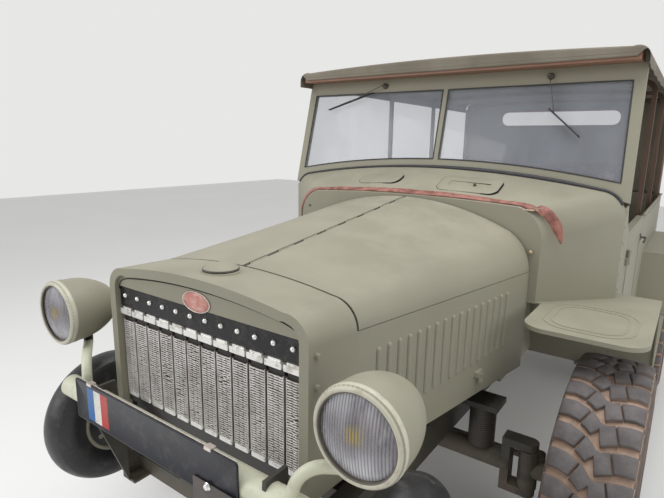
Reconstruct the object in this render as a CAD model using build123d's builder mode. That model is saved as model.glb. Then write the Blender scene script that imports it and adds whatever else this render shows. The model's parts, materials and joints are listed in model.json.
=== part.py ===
from build123d import *
import os
from math import cos, sin, radians, degrees, atan2, hypot

os.makedirs("parts", exist_ok=True)

# A light four-wheel-drive army car of the late 1930s, in millimetres.
# X runs across the car (its own left is +X), Y runs to the back, Z is up.
# The origin is on the ground, under the middle of the car's length and width.

# Overall sizes and the stations along the car, measured back from the radiator's face
roller_radius = 217.0
roller_setback = 66.0
front_overhang = 940.0
wheelbase = 2140.0
rear_overhang = 640.0
hook_reach = 344.0
overall_length = roller_radius - roller_setback + front_overhang + wheelbase + rear_overhang + hook_reach
radiator_y = roller_radius - roller_setback - overall_length / 2
front_axle_y = radiator_y + front_overhang
rear_axle_y = front_axle_y + wheelbase
tail_y = rear_axle_y + rear_overhang
hood_front_y = radiator_y + 168.0
lip_y = radiator_y + 1100.0
screen_y = radiator_y + 1345.0
door_front_y = radiator_y + 1570.0
clear = 0.3
moving_gap = 5.0

# Wheels
tyre_radius = 455.0
tyre_width = 230.0
tread_width = 197.0
lug_height = 14.0
lug_root = 12.0
rim_radius = 228.0
rim_width = 190.0
rim_flange = 19.0
rim_wall = 10.0
wheel_x = 842.0
hub_z = tyre_radius
stub_radius = 30.0
hub_radius = 62.0
drum_radius = 170.0
running_fit = 0.05
kingpin_x = 620.0
kingpin_radius = 14.0
steering_arm = 200.0
tie_rod_z = hub_z - 85.0
tie_rod_radius = 13.0

# Small front rollers
roller_width = 120.0
roller_x = 555.0
roller_y = radiator_y + roller_setback
roller_z = 663.0
roller_hub_radius = 104.0
roller_axle_radius = 18.0

# Chassis frame
rail_x = 330.0
rail_width = 60.0
rail_bottom = 550.0
rail_height = 120.0
rail_wall = 8.0
rail_front_y = radiator_y - 20.0
rail_back_y = tail_y + 100.0
member_height = 50.0
member_depth = 50.0
rail_top = rail_bottom + rail_height
member_top = rail_bottom + member_height
rail_inner = rail_x - rail_width / 2
rail_outer = rail_x + rail_width / 2

# Body
panel = 6.0
sheet = 4.0
floor_z = rail_top
body_half = 780.0
body_top = 1250.0
foot_half = 450.0
guard_top = 1020.0
guard_outer = 930.0
guard_inner = 572.0
guard_notch = 2.0
guard_front_y = radiator_y + 820.0
guard_bend_y = radiator_y + 1420.0
guard_foot_y = radiator_y + 1560.0
step_z = 650.0
arch_half_length = 525.0
house_inner = 650.0
door_setback = 325.0
door_back_y = rear_axle_y - arch_half_length - door_setback
door_length = door_back_y - door_front_y
roof_top = 1955.0
canvas = 8.0


def across(y):
    """Plane that faces the front at station y: its x is X and its y is Z."""
    return Plane((0, y, 0), x_dir=(1, 0, 0), z_dir=(0, -1, 0))


def along(x):
    """Plane that faces the left at x: its x is Y and its y is Z."""
    return Plane((x, 0, 0), x_dir=(0, 1, 0), z_dir=(1, 0, 0))


def write(piece, name):
    piece.part.label = name
    export_step(piece.part, "parts/" + name + ".step")


# An arched section is half width, top, shoulder x and z, top of the upright side, and bottom
def arch(y, section, inset=0.0, drop=0.0):
    """Arched section at station y: upright sides, round shoulders and a crowned top.

    It is inset by a wall's thickness, and its open foot reaches lower by drop."""
    half, top, shoulder_x, shoulder_z, side_top, bottom = section
    w = half - inset
    low = bottom - drop
    sx = shoulder_x - 0.55 * inset
    sz = shoulder_z - 0.85 * inset
    with BuildSketch(across(y)) as outline:
        with BuildLine():
            Polyline((-w, side_top), (-w, low), (w, low), (w, side_top))
            TangentArc((w, side_top), (sx, sz), tangent=(0, 1))
            ThreePointArc((sx, sz), (0, top - inset), (-sx, sz))
            TangentArc((-w, side_top), (-sx, sz), tangent=(0, 1))
        make_face()
    return outline.sketch.face()


def blend(front, back, share):
    """Section a share of the way from one to the other."""
    return tuple(a + (b - a) * share for a, b in zip(front, back))


shell_section = (368.0, 1253.0, 300.0, 1228.0, 1165.0, 790.0)
hood_front = (376.0, 1250.0, 306.0, 1224.0, 1150.0, 785.0)
hood_back = (520.0, 1370.0, 436.0, 1275.0, 1130.0, 760.0)
lip_section = (550.0, 1378.0, 457.0, 1363.0, 1246.0, guard_top)
screen_section = (body_half, 1483.0, 700.0, 1422.0, 1330.0, guard_top)
shell_back_y = hood_front_y - 8.0
hood_back_y = lip_y - 8.0
cowl_wall = 5.0

# Chassis frame: two channel rails open to the middle, joined by cross members
member_y = (radiator_y + 60.0, radiator_y + 300.0, front_axle_y - 180.0, radiator_y + 1600.0,
            rear_axle_y - 480.0, rail_back_y - member_depth / 2)
with BuildPart() as chassis_frame:
    with BuildSketch(across(rail_front_y)):
        with Locations((rail_x, rail_bottom + rail_height / 2), (-rail_x, rail_bottom + rail_height / 2)):
            Rectangle(rail_width, rail_height)
    extrude(amount=-(rail_back_y - rail_front_y))
    with BuildSketch(across(rail_front_y)):
        for side in (1, -1):
            with Locations((side * (rail_x - rail_wall), rail_bottom + rail_height / 2)):
                Rectangle(rail_width, rail_height - 2 * rail_wall)
    extrude(amount=-(rail_back_y - rail_front_y), mode=Mode.SUBTRACT)
    for y in member_y:
        with Locations((0, y, rail_bottom + member_height / 2)):
            Box(2 * (rail_outer - rail_wall), member_depth, member_height)
    for axle_y in (front_axle_y, rear_axle_y):
        for side in (1, -1):
            with Locations((side * (rail_outer + 75), axle_y, rail_top - 10)):
                Box(150, 110, 20)
write(chassis_frame, "chassis_frame")

# Engine as one block on two cross members, with the gearbox and transfer case behind it
engine_front_y = radiator_y + 260.0
engine_back_y = radiator_y + 900.0
gearbox_back_y = radiator_y + 1500.0
transfer_y = radiator_y + 1450.0
shaft_z = hub_z + 5.0
with BuildPart() as power_unit:
    with BuildSketch(Plane.XY.offset(member_top)):
        with Locations((0, (engine_front_y + engine_back_y) / 2)):
            Rectangle(400, engine_back_y - engine_front_y)
    extrude(amount=460)
    with BuildSketch(across(engine_back_y)):
        with Locations((0, 632)):
            Rectangle(260, 64)
    extrude(amount=-(gearbox_back_y - engine_back_y))
    with BuildSketch(Plane.XY.offset(hub_z - 65)):
        with Locations((0, transfer_y)):
            RectangleRounded(220, 140, 30)
    extrude(amount=632 - hub_z + 65)
write(power_unit, "power_unit")

# Drive axles: a round differential case with a tube to each wheel
diff_radius = 120.0
tube_radius = 38.0
yoke_inner = 545.0
ear_height = 28.0
ear_gap = 150.0


def differential(axle_y, end_x):
    """Half section of the case and tubes, to be turned about the axle line."""
    with BuildSketch(Plane((0, axle_y, hub_z), x_dir=(1, 0, 0), z_dir=(0, -1, 0))) as half_section:
        with BuildLine():
            Polyline((-end_x, 0), (-end_x, tube_radius), (-150, tube_radius), (-95, 70))
            ThreePointArc((-95, 70), (0, diff_radius), (95, 70))
            Polyline((95, 70), (150, tube_radius), (end_x, tube_radius), (end_x, 0), (-end_x, 0))
        make_face()
    return half_section.sketch.face()


with BuildPart() as front_axle:
    revolve(differential(front_axle_y, yoke_inner + 10), axis=Axis((0, front_axle_y, hub_z), (1, 0, 0)))
    with BuildSketch(across(front_axle_y + diff_radius - 30)):
        with Locations((0, shaft_z)):
            Circle(45)
    extrude(amount=-60)
    for side in (1, -1):
        for low in (hub_z - ear_gap / 2 - ear_height, hub_z + ear_gap / 2):
            with BuildSketch(Plane.XY.offset(low)):
                with Locations((side * (kingpin_x + yoke_inner) / 2, front_axle_y)):
                    Rectangle(kingpin_x - yoke_inner, 60)
                with Locations((side * kingpin_x, front_axle_y)):
                    Circle(30)
                    Circle(kingpin_radius + running_fit, mode=Mode.SUBTRACT)
            extrude(amount=ear_height)
        with BuildSketch(Plane.XY.offset(hub_z - ear_gap / 2 - ear_height)):
            with Locations((side * yoke_inner, front_axle_y)):
                Rectangle(30, 60)
        extrude(amount=ear_gap + 2 * ear_height)
write(front_axle, "front_axle")

with BuildPart() as rear_axle:
    revolve(differential(rear_axle_y, wheel_x - 115), axis=Axis((0, rear_axle_y, hub_z), (1, 0, 0)))
    with BuildSketch(across(rear_axle_y - diff_radius - 30)):
        with Locations((0, shaft_z)):
            Circle(45)
    extrude(amount=-60)
    for side in (1, -1):
        with BuildSketch(along(side * (wheel_x - 115))):
            with Locations((rear_axle_y, hub_z)):
                Circle(stub_radius)
        extrude(amount=side * 160)
write(rear_axle, "rear_axle")

# Drive shafts from the transfer case to both axles
with BuildPart() as drive_shafts:
    for start, end in ((front_axle_y + diff_radius + 30, transfer_y - 70),
                       (transfer_y + 70, rear_axle_y - diff_radius - 30)):
        with BuildSketch(across(start)):
            with Locations((0, shaft_z)):
                Circle(26)
        extrude(amount=-(end - start))
        for joint_y in (start, end - 50):
            with BuildSketch(across(joint_y)):
                with Locations((0, shaft_z)):
                    Circle(40)
            extrude(amount=-50)
write(drive_shafts, "drive_shafts")

# Coil springs between the frame's brackets and the axle tubes
spring_x = rail_outer + 85.0
spring_radius = 48.0
spring_foot = hub_z + tube_radius + 0.2
with BuildPart() as springs:
    for axle_y in (front_axle_y, rear_axle_y):
        for side in (1, -1):
            with BuildSketch(Plane.XY.offset(spring_foot)):
                with Locations((side * spring_x, axle_y)):
                    Circle(spring_radius)
                    Circle(spring_radius - 16, mode=Mode.SUBTRACT)
            extrude(amount=rail_top - 20 - spring_foot)
write(springs, "springs")

# Knuckles: an upright barrel with king pins, a stub axle and an arm back to the tie rod
for name, side in (("knuckle_left", 1), ("knuckle_right", -1)):
    with BuildPart() as knuckle:
        with BuildSketch(Plane.XY.offset(hub_z - ear_gap / 2 + 2)):
            with Locations((side * kingpin_x, front_axle_y)):
                Circle(34)
        extrude(amount=ear_gap - 4)
        with BuildSketch(Plane.XY.offset(hub_z - ear_gap / 2 - ear_height)):
            with Locations((side * kingpin_x, front_axle_y)):
                Circle(kingpin_radius)
        extrude(amount=ear_gap + 2 * ear_height)
        with BuildSketch(along(side * kingpin_x)):
            with Locations((front_axle_y, hub_z)):
                Circle(stub_radius)
        extrude(amount=side * (wheel_x + 45 - kingpin_x))
        with BuildSketch(Plane.XY.offset(tie_rod_z + 16)):
            with Locations((side * kingpin_x, front_axle_y + steering_arm / 2)):
                Rectangle(30, steering_arm)
            with Locations((side * kingpin_x, front_axle_y + steering_arm)):
                Circle(20)
        extrude(amount=20)
        with BuildSketch(Plane.XY.offset(tie_rod_z - 16)):
            with Locations((side * kingpin_x, front_axle_y + steering_arm)):
                Circle(8)
        extrude(amount=33)
    write(knuckle, name)

# Tie rod between the arms' pins
with BuildPart() as tie_rod:
    with BuildSketch(along(-kingpin_x)):
        with Locations((front_axle_y + steering_arm, tie_rod_z)):
            Circle(tie_rod_radius)
    extrude(amount=2 * kingpin_x)
    with BuildSketch(Plane.XY.offset(tie_rod_z - 15)):
        with Locations((kingpin_x, front_axle_y + steering_arm), (-kingpin_x, front_axle_y + steering_arm)):
            Circle(20)
    extrude(amount=30)
    with BuildSketch(Plane.XY.offset(tie_rod_z - 15)):
        with Locations((kingpin_x, front_axle_y + steering_arm), (-kingpin_x, front_axle_y + steering_arm)):
            Circle(8 + running_fit)
    extrude(amount=30, mode=Mode.SUBTRACT)
write(tie_rod, "tie_rod")


# Road wheels and tyres, drawn with their centre at the origin and their axle along X
def turned(plane):
    """Axle line of a plane whose x runs along the axle."""
    return Axis(plane.origin, plane.x_dir)


def tyre_profile(plane):
    half_rim = rim_width / 2 - clear
    half = tyre_width / 2
    seat = rim_radius + clear
    bead = rim_radius + rim_flange + clear
    belly = (bead + tyre_radius) / 2 - 10
    tread_radius = tyre_radius - lug_height
    shoulder = tread_radius - 10
    with BuildSketch(plane) as half_section:
        with BuildLine():
            Polyline((-half_rim, bead), (-half_rim, seat), (half_rim, seat), (half_rim, bead))
            ThreePointArc((half_rim, bead), (half - 3, (bead + belly) / 2 - 8), (half, belly))
            ThreePointArc((half, belly), (half - 3, (belly + shoulder) / 2), (tread_width / 2 + 4, shoulder))
            Polyline((tread_width / 2 + 4, shoulder), (tread_width / 2 - 12, tread_radius),
                     (12 - tread_width / 2, tread_radius), (-tread_width / 2 - 4, shoulder))
            ThreePointArc((-tread_width / 2 - 4, shoulder), (3 - half, (belly + shoulder) / 2),
                          (-half, belly))
            ThreePointArc((-half, belly), (3 - half, (bead + belly) / 2 - 8), (-half_rim, bead))
        make_face()
    return half_section.sketch.face()


# Each arm of the tread is the turn of its middle, and rows of place across, middle along, half thickness
lug_count = 36
tread_edge = tread_width / 2 + 1
tread_arms = ((-2.5, ((-tread_edge, 20.0, 24.0), (-tread_width / 4, 9.0, 25.0), (-4.0, -23.0, 27.0))),
              (-6.5, ((12.0, -13.0, 26.0), (tread_width / 4, 4.0, 25.0), (tread_edge, 12.0, 24.0))))
with BuildPart() as plain_tyre:
    lying = Plane((0, 0, 0), x_dir=(1, 0, 0), z_dir=(0, -1, 0))
    revolve(tyre_profile(lying), axis=turned(lying))
    for middle, rows in tread_arms:
        reach = max(abs(along_tyre) + half for across_tyre, along_tyre, half in rows)
        top = (tyre_radius ** 2 - reach ** 2) ** 0.5
        turns = [radians(180 - middle - number * 360 / lug_count) for number in range(lug_count)]
        lug_planes = [Plane((0, 0, 0), x_dir=(1, 0, 0), z_dir=(0, cos(turn), sin(turn))).offset(top)
                      for turn in turns]
        with BuildSketch(*lug_planes):
            with BuildLine():
                Polyline(*[(x, y - half) for x, y, half in rows],
                         *[(x, y + half) for x, y, half in reversed(rows)], close=True)
            make_face()
        extrude(amount=-lug_height - lug_root)


def wheel_profile(plane, bore, outward):
    """Hub, brake drum, disc and rim as one turned section; outward is +1 or -1 along the plane's x."""
    inner = rim_radius - rim_wall
    half = rim_width / 2
    lip = rim_radius + rim_flange
    with BuildSketch(plane) as half_section:
        with Locations((outward * -28, (bore + hub_radius) / 2)):
            Rectangle(146, hub_radius - bore)
        with Locations((outward * -8, (hub_radius + inner) / 2)):
            Rectangle(9, inner - hub_radius + 4)
        with Locations((outward * -36, (hub_radius + drum_radius) / 2)):
            Rectangle(12, drum_radius - hub_radius + 4)
        with Locations((outward * -68, drum_radius - 5)):
            Rectangle(66, 12)
        with Locations((0, (inner + rim_radius) / 2)):
            Rectangle(rim_width + 16, rim_wall)
        with Locations((-half - 4, (inner + lip) / 2), (half + 4, (inner + lip) / 2)):
            Rectangle(8, lip - inner)
    return half_section.sketch.faces()


def wheel_plane(x, y):
    return Plane((x, y, hub_z), x_dir=(1, 0, 0), z_dir=(0, -1, 0))


road_wheels = (("front_left", 1, front_axle_y), ("front_right", -1, front_axle_y),
               ("rear_left", 1, rear_axle_y), ("rear_right", -1, rear_axle_y))
for place, side, axle_y in road_wheels:
    plane = wheel_plane(side * wheel_x, axle_y)
    with BuildPart() as tyre:
        add(plain_tyre.part if side > 0 else mirror(plain_tyre.part, about=Plane.YZ))
        tyre.part.move(Location(plane.origin))
    write(tyre, "tyre_" + place)
    with BuildPart() as wheel:
        revolve(wheel_profile(plane, stub_radius + running_fit, side), axis=turned(plane))
    write(wheel, "wheel_" + place)

# Spare wheel on a boss behind the tail panel, its axle along Y
spare_z = 1100.0
spare_y = tail_y + 135.0
spare_plane = Plane((0, spare_y, spare_z), x_dir=(0, 1, 0), z_dir=(1, 0, 0))
with BuildPart() as spare_tyre:
    add(plain_tyre.part, rotation=(0, 0, 90))
    spare_tyre.part.move(Location(spare_plane.origin))
write(spare_tyre, "spare_tyre")
with BuildPart() as spare_wheel:
    with BuildSketch(spare_plane):
        with Locations((-8, (stub_radius + rim_radius - rim_wall) / 2)):
            Rectangle(9, rim_radius - rim_wall - stub_radius + 4)
        with Locations((0, rim_radius - rim_wall / 2)):
            Rectangle(rim_width + 16, rim_wall)
        for end in (1, -1):
            with Locations((end * (rim_width / 2 + 4), rim_radius + (rim_flange - rim_wall) / 2)):
                Rectangle(8, rim_flange + rim_wall)
    revolve(axis=turned(spare_plane))
write(spare_wheel, "spare_wheel")

# Small front rollers: fat smooth tyres on brackets outside the frame's front ends
for name, side in (("roller_left", 1), ("roller_right", -1)):
    plane = Plane((side * roller_x, roller_y, roller_z), x_dir=(1, 0, 0), z_dir=(0, -1, 0))
    with BuildPart() as roller:
        with BuildSketch(plane):
            with BuildLine():
                Polyline((-38, roller_hub_radius + 6), (-38, roller_axle_radius + running_fit),
                         (38, roller_axle_radius + running_fit), (38, roller_hub_radius + 6))
                ThreePointArc((38, roller_hub_radius + 6), (roller_width / 2, 158), (44, 202))
                ThreePointArc((44, 202), (0, roller_radius), (-44, 202))
                ThreePointArc((-44, 202), (-roller_width / 2, 158), (-38, roller_hub_radius + 6))
            make_face()
        revolve(axis=turned(plane))
    write(roller, name)

with BuildPart() as roller_brackets:
    for side in (1, -1):
        with BuildSketch(along(side * rail_outer)):
            with Locations((roller_y, roller_z - 25)):
                Rectangle(110, 130)
        extrude(amount=side * 40)
        with BuildSketch(along(side * (rail_outer + 40))):
            with Locations((roller_y, roller_z)):
                Circle(34)
        extrude(amount=side * (roller_x - 38 - moving_gap - rail_outer - 40))
        with BuildSketch(along(side * (rail_outer + 40))):
            with Locations((roller_y, roller_z)):
                Circle(roller_axle_radius)
        extrude(amount=side * (roller_x + 50 - rail_outer - 40))
write(roller_brackets, "roller_brackets")

# Radiator shell: painted surround with a rolled lip, a face above the elements, and a filler cap
lip_width = 26.0
face_half = 342.0
face_bottom = 812.0
face_top = 1170.0
cap_radius = 47.0
peg_heights = (1140.0, 1068.0)
with BuildPart() as radiator_shell:
    loft([arch(radiator_y - 12, shell_section), arch(shell_back_y, hood_front)], ruled=True)
    loft([arch(radiator_y + 18, shell_section, 5, 50), arch(shell_back_y + 1, hood_front, 5, 50)],
         ruled=True, mode=Mode.SUBTRACT)
    extrude(arch(radiator_y - 13, shell_section, lip_width, 50), amount=-14, mode=Mode.SUBTRACT)
    with BuildSketch(across(radiator_y - 13)):
        with Locations((0, (face_bottom + face_top) / 2 - 30)):
            Rectangle(2 * face_half, face_top - face_bottom + 60)
    extrude(amount=-60, mode=Mode.SUBTRACT)
    with BuildSketch(Plane((0, radiator_y + 85, shell_section[1]), x_dir=(1, 0, 0), z_dir=(0, -1, 0))):
        with BuildLine():
            Polyline((0, -8), (cap_radius + 5, -8), (cap_radius + 5, 0), (cap_radius, 2), (cap_radius, 8))
            ThreePointArc((cap_radius, 8), (cap_radius * 0.6, 17), (10, 20))
            Polyline((10, 20), (0, 20), (0, -8))
        make_face()
    revolve(axis=Axis((0, radiator_y + 85, 0), (0, 0, 1)))
    for side in (1, -1):
        with BuildSketch(along(side * (shell_section[0] - 3))):
            with Locations(*[(radiator_y + 14, z) for z in peg_heights]):
                Circle(7)
        extrude(amount=side * 14)
write(radiator_shell, "radiator_shell")

# Radiator: twelve upright finned elements with caps, between a bottom and a top tank
element_count = 12
element_pitch = 57.0
element_places = [(column - (element_count - 1) / 2) * element_pitch for column in range(element_count)]
element_width = 49.0
element_depth = 60.0
element_bottom = 829.0
element_top = 1103.5
cap_height = 16.0
foot_height = 14.0
cap_gap = 12.0
fin_pitch = 9.5
fin_thickness = 4.0
fin_reach = 7.0
fin_gap = 3.0
header_height = 8.0
core_y = radiator_y + 40.0
core_front_y = core_y - element_depth / 2
fin_bottom = element_bottom + foot_height
fin_count = int((element_top - cap_height - cap_gap - fin_bottom) / fin_pitch)


def fin_outline():
    """Side outline of one element: a core with a comb of fins in front, on a foot and under a cap."""
    root = core_front_y + fin_reach
    back = core_y + element_depth / 2
    points = [(root, element_top - cap_height)]
    for number in reversed(range(fin_count)):
        low = fin_bottom + fin_gap + number * fin_pitch
        points += [(root, low + fin_thickness + 2), (core_front_y, low + fin_thickness), (core_front_y, low),
                   (root, low)]
    points += [(root, fin_bottom), (core_front_y - 2, fin_bottom), (core_front_y - 2, element_bottom),
               (back, element_bottom), (back, element_top - cap_height)]
    return points


with BuildPart() as radiator_elements:
    for x in element_places:
        with BuildSketch(along(x - element_width / 2)):
            with BuildLine():
                Polyline(*fin_outline(), close=True)
            make_face()
        extrude(amount=element_width)
        with BuildSketch(Plane.XY.offset(element_top - cap_height)):
            with Locations((x, core_y - 3)):
                Rectangle(element_width + 2, element_depth + 6)
        extrude(amount=cap_height)
write(radiator_elements, "radiator_elements")

# Radiator tanks: a header plate and tank on the elements, and a foot on the first cross member
rod_radius = 2.0
with BuildPart() as radiator_tanks:
    with BuildSketch(Plane.XY.offset(element_bottom)):
        with Locations(*[((column + 1 - element_count / 2) * element_pitch, core_front_y + 12)
                         for column in range(element_count - 1)]):
            Circle(rod_radius)
    extrude(amount=element_top - element_bottom)
    with BuildSketch(Plane.XY.offset(element_top)):
        with Locations((0, core_y + 15)):
            Rectangle(2 * face_half - 2, element_depth + 30)
    extrude(amount=header_height)
    with BuildSketch(Plane.XY.offset(element_top + header_height)):
        with Locations((0, core_y + 35)):
            Rectangle(2 * face_half - 30, 50)
    extrude(amount=70)
    with BuildSketch(Plane.XY.offset(member_top)):
        with Locations((0, member_y[0])):
            Rectangle(300, member_depth)
    extrude(amount=element_bottom - 20 - member_top)
    with BuildSketch(Plane.XY.offset(element_bottom - 90)):
        with Locations((0, core_y + 10)):
            Rectangle(2 * face_half - 40, element_depth)
    extrude(amount=70)
    with BuildSketch(Plane.XY.offset(element_bottom - 20)):
        with Locations((0, core_y)):
            Rectangle(2 * face_half - 2, element_depth)
    extrude(amount=20)
write(radiator_tanks, "radiator_tanks")

# Dark clamp band above the elements, with twelve dome bolts
band_top = 1168.0
band_bottom = element_top + header_height + clear
bolt_z = 1144.5
bolt_radius = 6.5
with BuildPart() as radiator_band:
    with BuildSketch(across(radiator_y + 4)):
        with Locations((0, (band_bottom + band_top) / 2)):
            Rectangle(2 * face_half - 2, band_top - band_bottom)
    extrude(amount=-10)
    with BuildSketch(across(radiator_y + 4)):
        with Locations(*[(x, bolt_z) for x in element_places]):
            Circle(bolt_radius)
    extrude(amount=5, taper=25)
write(radiator_band, "radiator_band")

# Hood: two leaves hinged on a rod along the middle, over two louvred sides that stay on the body
hinge_radius = 2.5
barrel_radius = 5.0
leaf_edge = 7.0
hinge_z_front = hood_front[1] - sheet / 2
hinge_z_back = hood_back[1] - sheet / 2
hinge_run = hood_back_y - hood_front_y
hinge_length = hypot(hinge_run, hinge_z_back - hinge_z_front)
hinge_dir = (0, hinge_run / hinge_length, (hinge_z_back - hinge_z_front) / hinge_length)
hinge_plane = Plane((0, hood_front_y, hinge_z_front), x_dir=(1, 0, 0), z_dir=hinge_dir)
barrel_length = 70.0
barrel_count = 4
crease_gap = 2.0
louvre_count = 17
louvre_first = 75.0
louvre_pitch = 43.0
louvre_radius = 9.0
louvre_low = 885.0
louvre_high = 1090.0
latch_z = 845.0
with BuildPart() as hood_hinge:
    with BuildSketch(hinge_plane.offset(-7.4)):
        Circle(hinge_radius)
    extrude(amount=hinge_length + 14.8)
write(hood_hinge, "hood_hinge")


def hood_section(y):
    """Section of the hood at station y."""
    return blend(hood_front, hood_back, (y - hood_front_y) / hinge_run)


for name, side in (("hood_left", 1), ("hood_right", -1)):
    with BuildPart() as hood:
        loft([arch(hood_front_y, hood_front), arch(hood_back_y, hood_back)], ruled=True)
        loft([arch(hood_front_y, hood_front, sheet, 50), arch(hood_back_y, hood_back, sheet, 50)],
             ruled=True, mode=Mode.SUBTRACT)
        with BuildSketch(Plane.XY.offset(500)):
            with Locations((side * (leaf_edge - 1000), radiator_y + 600)):
                Rectangle(2000, 1600)
        extrude(amount=1200, mode=Mode.SUBTRACT)
        with BuildSketch(along(-body_half)):
            with BuildLine():
                near, far = hood_front_y - 20, hood_back_y + 20
                Polyline((near, hood_section(near)[4] + crease_gap), (far, hood_section(far)[4] + crease_gap),
                         (far, 0), (near, 0), close=True)
            make_face()
        extrude(amount=2 * body_half, mode=Mode.SUBTRACT)
        for number in range(barrel_count):
            turn = 2 * number + (0 if side > 0 else 1)
            start = 20 + turn * (hinge_length - 40 - barrel_length) / (2 * barrel_count - 1)
            with BuildSketch(hinge_plane.offset(start)):
                Circle(barrel_radius)
                with Locations((side * 7, 0)):
                    Rectangle(8, 3)
                Circle(hinge_radius + running_fit, mode=Mode.SUBTRACT)
            extrude(amount=barrel_length)
    write(hood, name)


def flank(y, side):
    """Upright side of the hood at station y, from its foot to the crease."""
    half, top, shoulder_x, shoulder_z, side_top, bottom = hood_section(y)
    with BuildSketch(across(y)) as outline:
        with Locations((side * (half - sheet / 2), (bottom + side_top) / 2)):
            Rectangle(sheet, side_top - bottom)
    return outline.sketch.face()


def louvre(foot_x, y, side):
    """Half section of one rib with round ends, to be turned about its upright middle line."""
    r = louvre_radius
    half_way = r * cos(radians(45))
    with BuildSketch(Plane((foot_x, y, 0), x_dir=(-side, 0, 0), z_dir=(0, side, 0))) as half_section:
        with BuildLine():
            ThreePointArc((0, louvre_low), (half_way, louvre_low + r - half_way), (r, louvre_low + r))
            Line((r, louvre_low + r), (r, louvre_high - r))
            ThreePointArc((r, louvre_high - r), (half_way, louvre_high - r + half_way), (0, louvre_high))
            Line((0, louvre_high), (0, louvre_low))
        make_face()
    return half_section.sketch.face()


for name, side in (("hood_side_left", 1), ("hood_side_right", -1)):
    with BuildPart() as hood_side:
        loft([flank(shell_back_y + clear, side), flank(lip_y - guard_notch - clear, side)], ruled=True)
        for number in range(louvre_count):
            y = hood_front_y + louvre_first + number * louvre_pitch
            foot_x = side * (hood_section(y)[0] - 2)
            revolve(louvre(foot_x, y, side), axis=Axis((foot_x, y, 0), (0, 0, 1)))
        for y in (hood_front_y + 110, hood_back_y - 330):
            with BuildSketch(along(side * (hood_section(y)[0] - sheet))):
                with Locations((y, latch_z)):
                    RectangleRounded(46, 22, 6)
            extrude(amount=side * 16)
            with BuildSketch(along(side * (hood_section(y)[0] + 10))):
                with Locations((y, latch_z - 24)):
                    Circle(9)
                with Locations((y, latch_z - 12)):
                    Rectangle(8, 24)
            extrude(amount=side * 8)
    write(hood_side, name)

# Cowl: flares from the lip behind the hood to the windscreen, closed in front by the firewall
with BuildPart() as cowl:
    loft([arch(lip_y, lip_section), arch(screen_y, screen_section)], ruled=True)
    share = panel / (screen_y - lip_y)
    loft([arch(lip_y + panel, blend(lip_section, screen_section, share), cowl_wall, 50),
          arch(screen_y + 1, blend(lip_section, screen_section, 1.0), cowl_wall, 50)],
         ruled=True, mode=Mode.SUBTRACT)
    with BuildSketch(across(lip_y)):
        with Locations((0, (floor_z + panel + guard_top) / 2)):
            Rectangle(2 * foot_half, guard_top - floor_z - panel)
    extrude(amount=-panel)
write(cowl, "cowl")

# Dashboard: fits inside the cowl ahead of the windscreen, with the steering column below it
dash_y = screen_y - 60.0
dash_bottom = 1150.0
wheel_centre = (380.0, radiator_y + 1700.0, 1245.0)
column_foot = (380.0, radiator_y + 1130.0, 850.0)
hub_depth = 18.0
column_dir = tuple(b - a for a, b in zip(column_foot, wheel_centre))
column_plane = Plane(column_foot, x_dir=(1, 0, 0), z_dir=column_dir)
column_length = hypot(*column_dir)
with BuildPart() as dashboard:
    dash_section = blend(lip_section, screen_section, (dash_y - lip_y) / (screen_y - lip_y))
    extrude(arch(dash_y, (*dash_section[:5], dash_bottom), cowl_wall + 0.8), amount=-15)
    with BuildSketch(column_plane.offset(-60)):
        Circle(18)
    extrude(amount=60 + column_length - hub_depth - clear)
    with BuildSketch(across(dash_y)):
        with Locations((wheel_centre[0], dash_bottom - 65)):
            Rectangle(44, 150)
    extrude(amount=-15)
    with BuildSketch(across(lip_y + panel + clear)):
        with Locations((wheel_centre[0], 850)):
            Rectangle(300, 300)
    extrude(amount=200, mode=Mode.SUBTRACT)
write(dashboard, "dashboard")

wheel_tilt = Plane(wheel_centre, x_dir=(1, 0, 0), z_dir=column_dir)
with BuildPart() as steering_wheel:
    with BuildSketch(Plane(wheel_centre, x_dir=(1, 0, 0), z_dir=wheel_tilt.y_dir)):
        with Locations((205, 0)):
            Circle(12)
    revolve(axis=Axis(wheel_centre, column_dir))
    with BuildSketch(wheel_tilt.offset(-hub_depth)):
        Circle(34)
    extrude(amount=hub_depth + 14)
    with BuildSketch(wheel_tilt.offset(-5)):
        Rectangle(396, 22)
        Rectangle(22, 396)
    extrude(amount=10)
write(steering_wheel, "steering_wheel")


# Body floor: pan on the rails, footwell sides, and boxes over the back wheels
def guard_slope_y(z):
    """Y of the front mudguard's back slope at height z."""
    return guard_bend_y + (guard_foot_y - guard_bend_y) * (guard_top - z) / (guard_top - step_z)


with BuildPart() as floor_pan:
    with BuildSketch(Plane.XY.offset(floor_z)):
        with Locations((0, (lip_y + panel + guard_slope_y(floor_z)) / 2)):
            Rectangle(2 * foot_half, guard_slope_y(floor_z) - lip_y - panel + 2)
        with Locations((0, (guard_slope_y(floor_z) + clear + tail_y - panel) / 2)):
            Rectangle(2 * (body_half - panel), tail_y - panel - guard_slope_y(floor_z) - clear)
    extrude(amount=panel)
    for side in (1, -1):
        with BuildSketch(Plane.XY.offset(floor_z)):
            with Locations((side * (house_inner + body_half - panel) / 2, rear_axle_y)):
                Rectangle(body_half - panel - house_inner, 2 * arch_half_length)
        extrude(amount=guard_top - 30 - floor_z)
        with BuildSketch(Plane.XY.offset(floor_z - 1)):
            with Locations((side * (house_inner + panel + 100), rear_axle_y)):
                Rectangle(200, 2 * (arch_half_length - panel))
        extrude(amount=guard_top - 30 - panel - floor_z + 1, mode=Mode.SUBTRACT)
        with BuildSketch(along(side * foot_half)):
            with BuildLine():
                Polyline((lip_y + panel, floor_z + panel), (guard_slope_y(floor_z + panel), floor_z + panel),
                         (guard_bend_y - 4, guard_top - panel), (lip_y + panel, guard_top - panel),
                         (lip_y + panel, floor_z + panel))
            make_face()
        extrude(amount=-side * panel)
write(floor_pan, "floor_pan")

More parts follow.
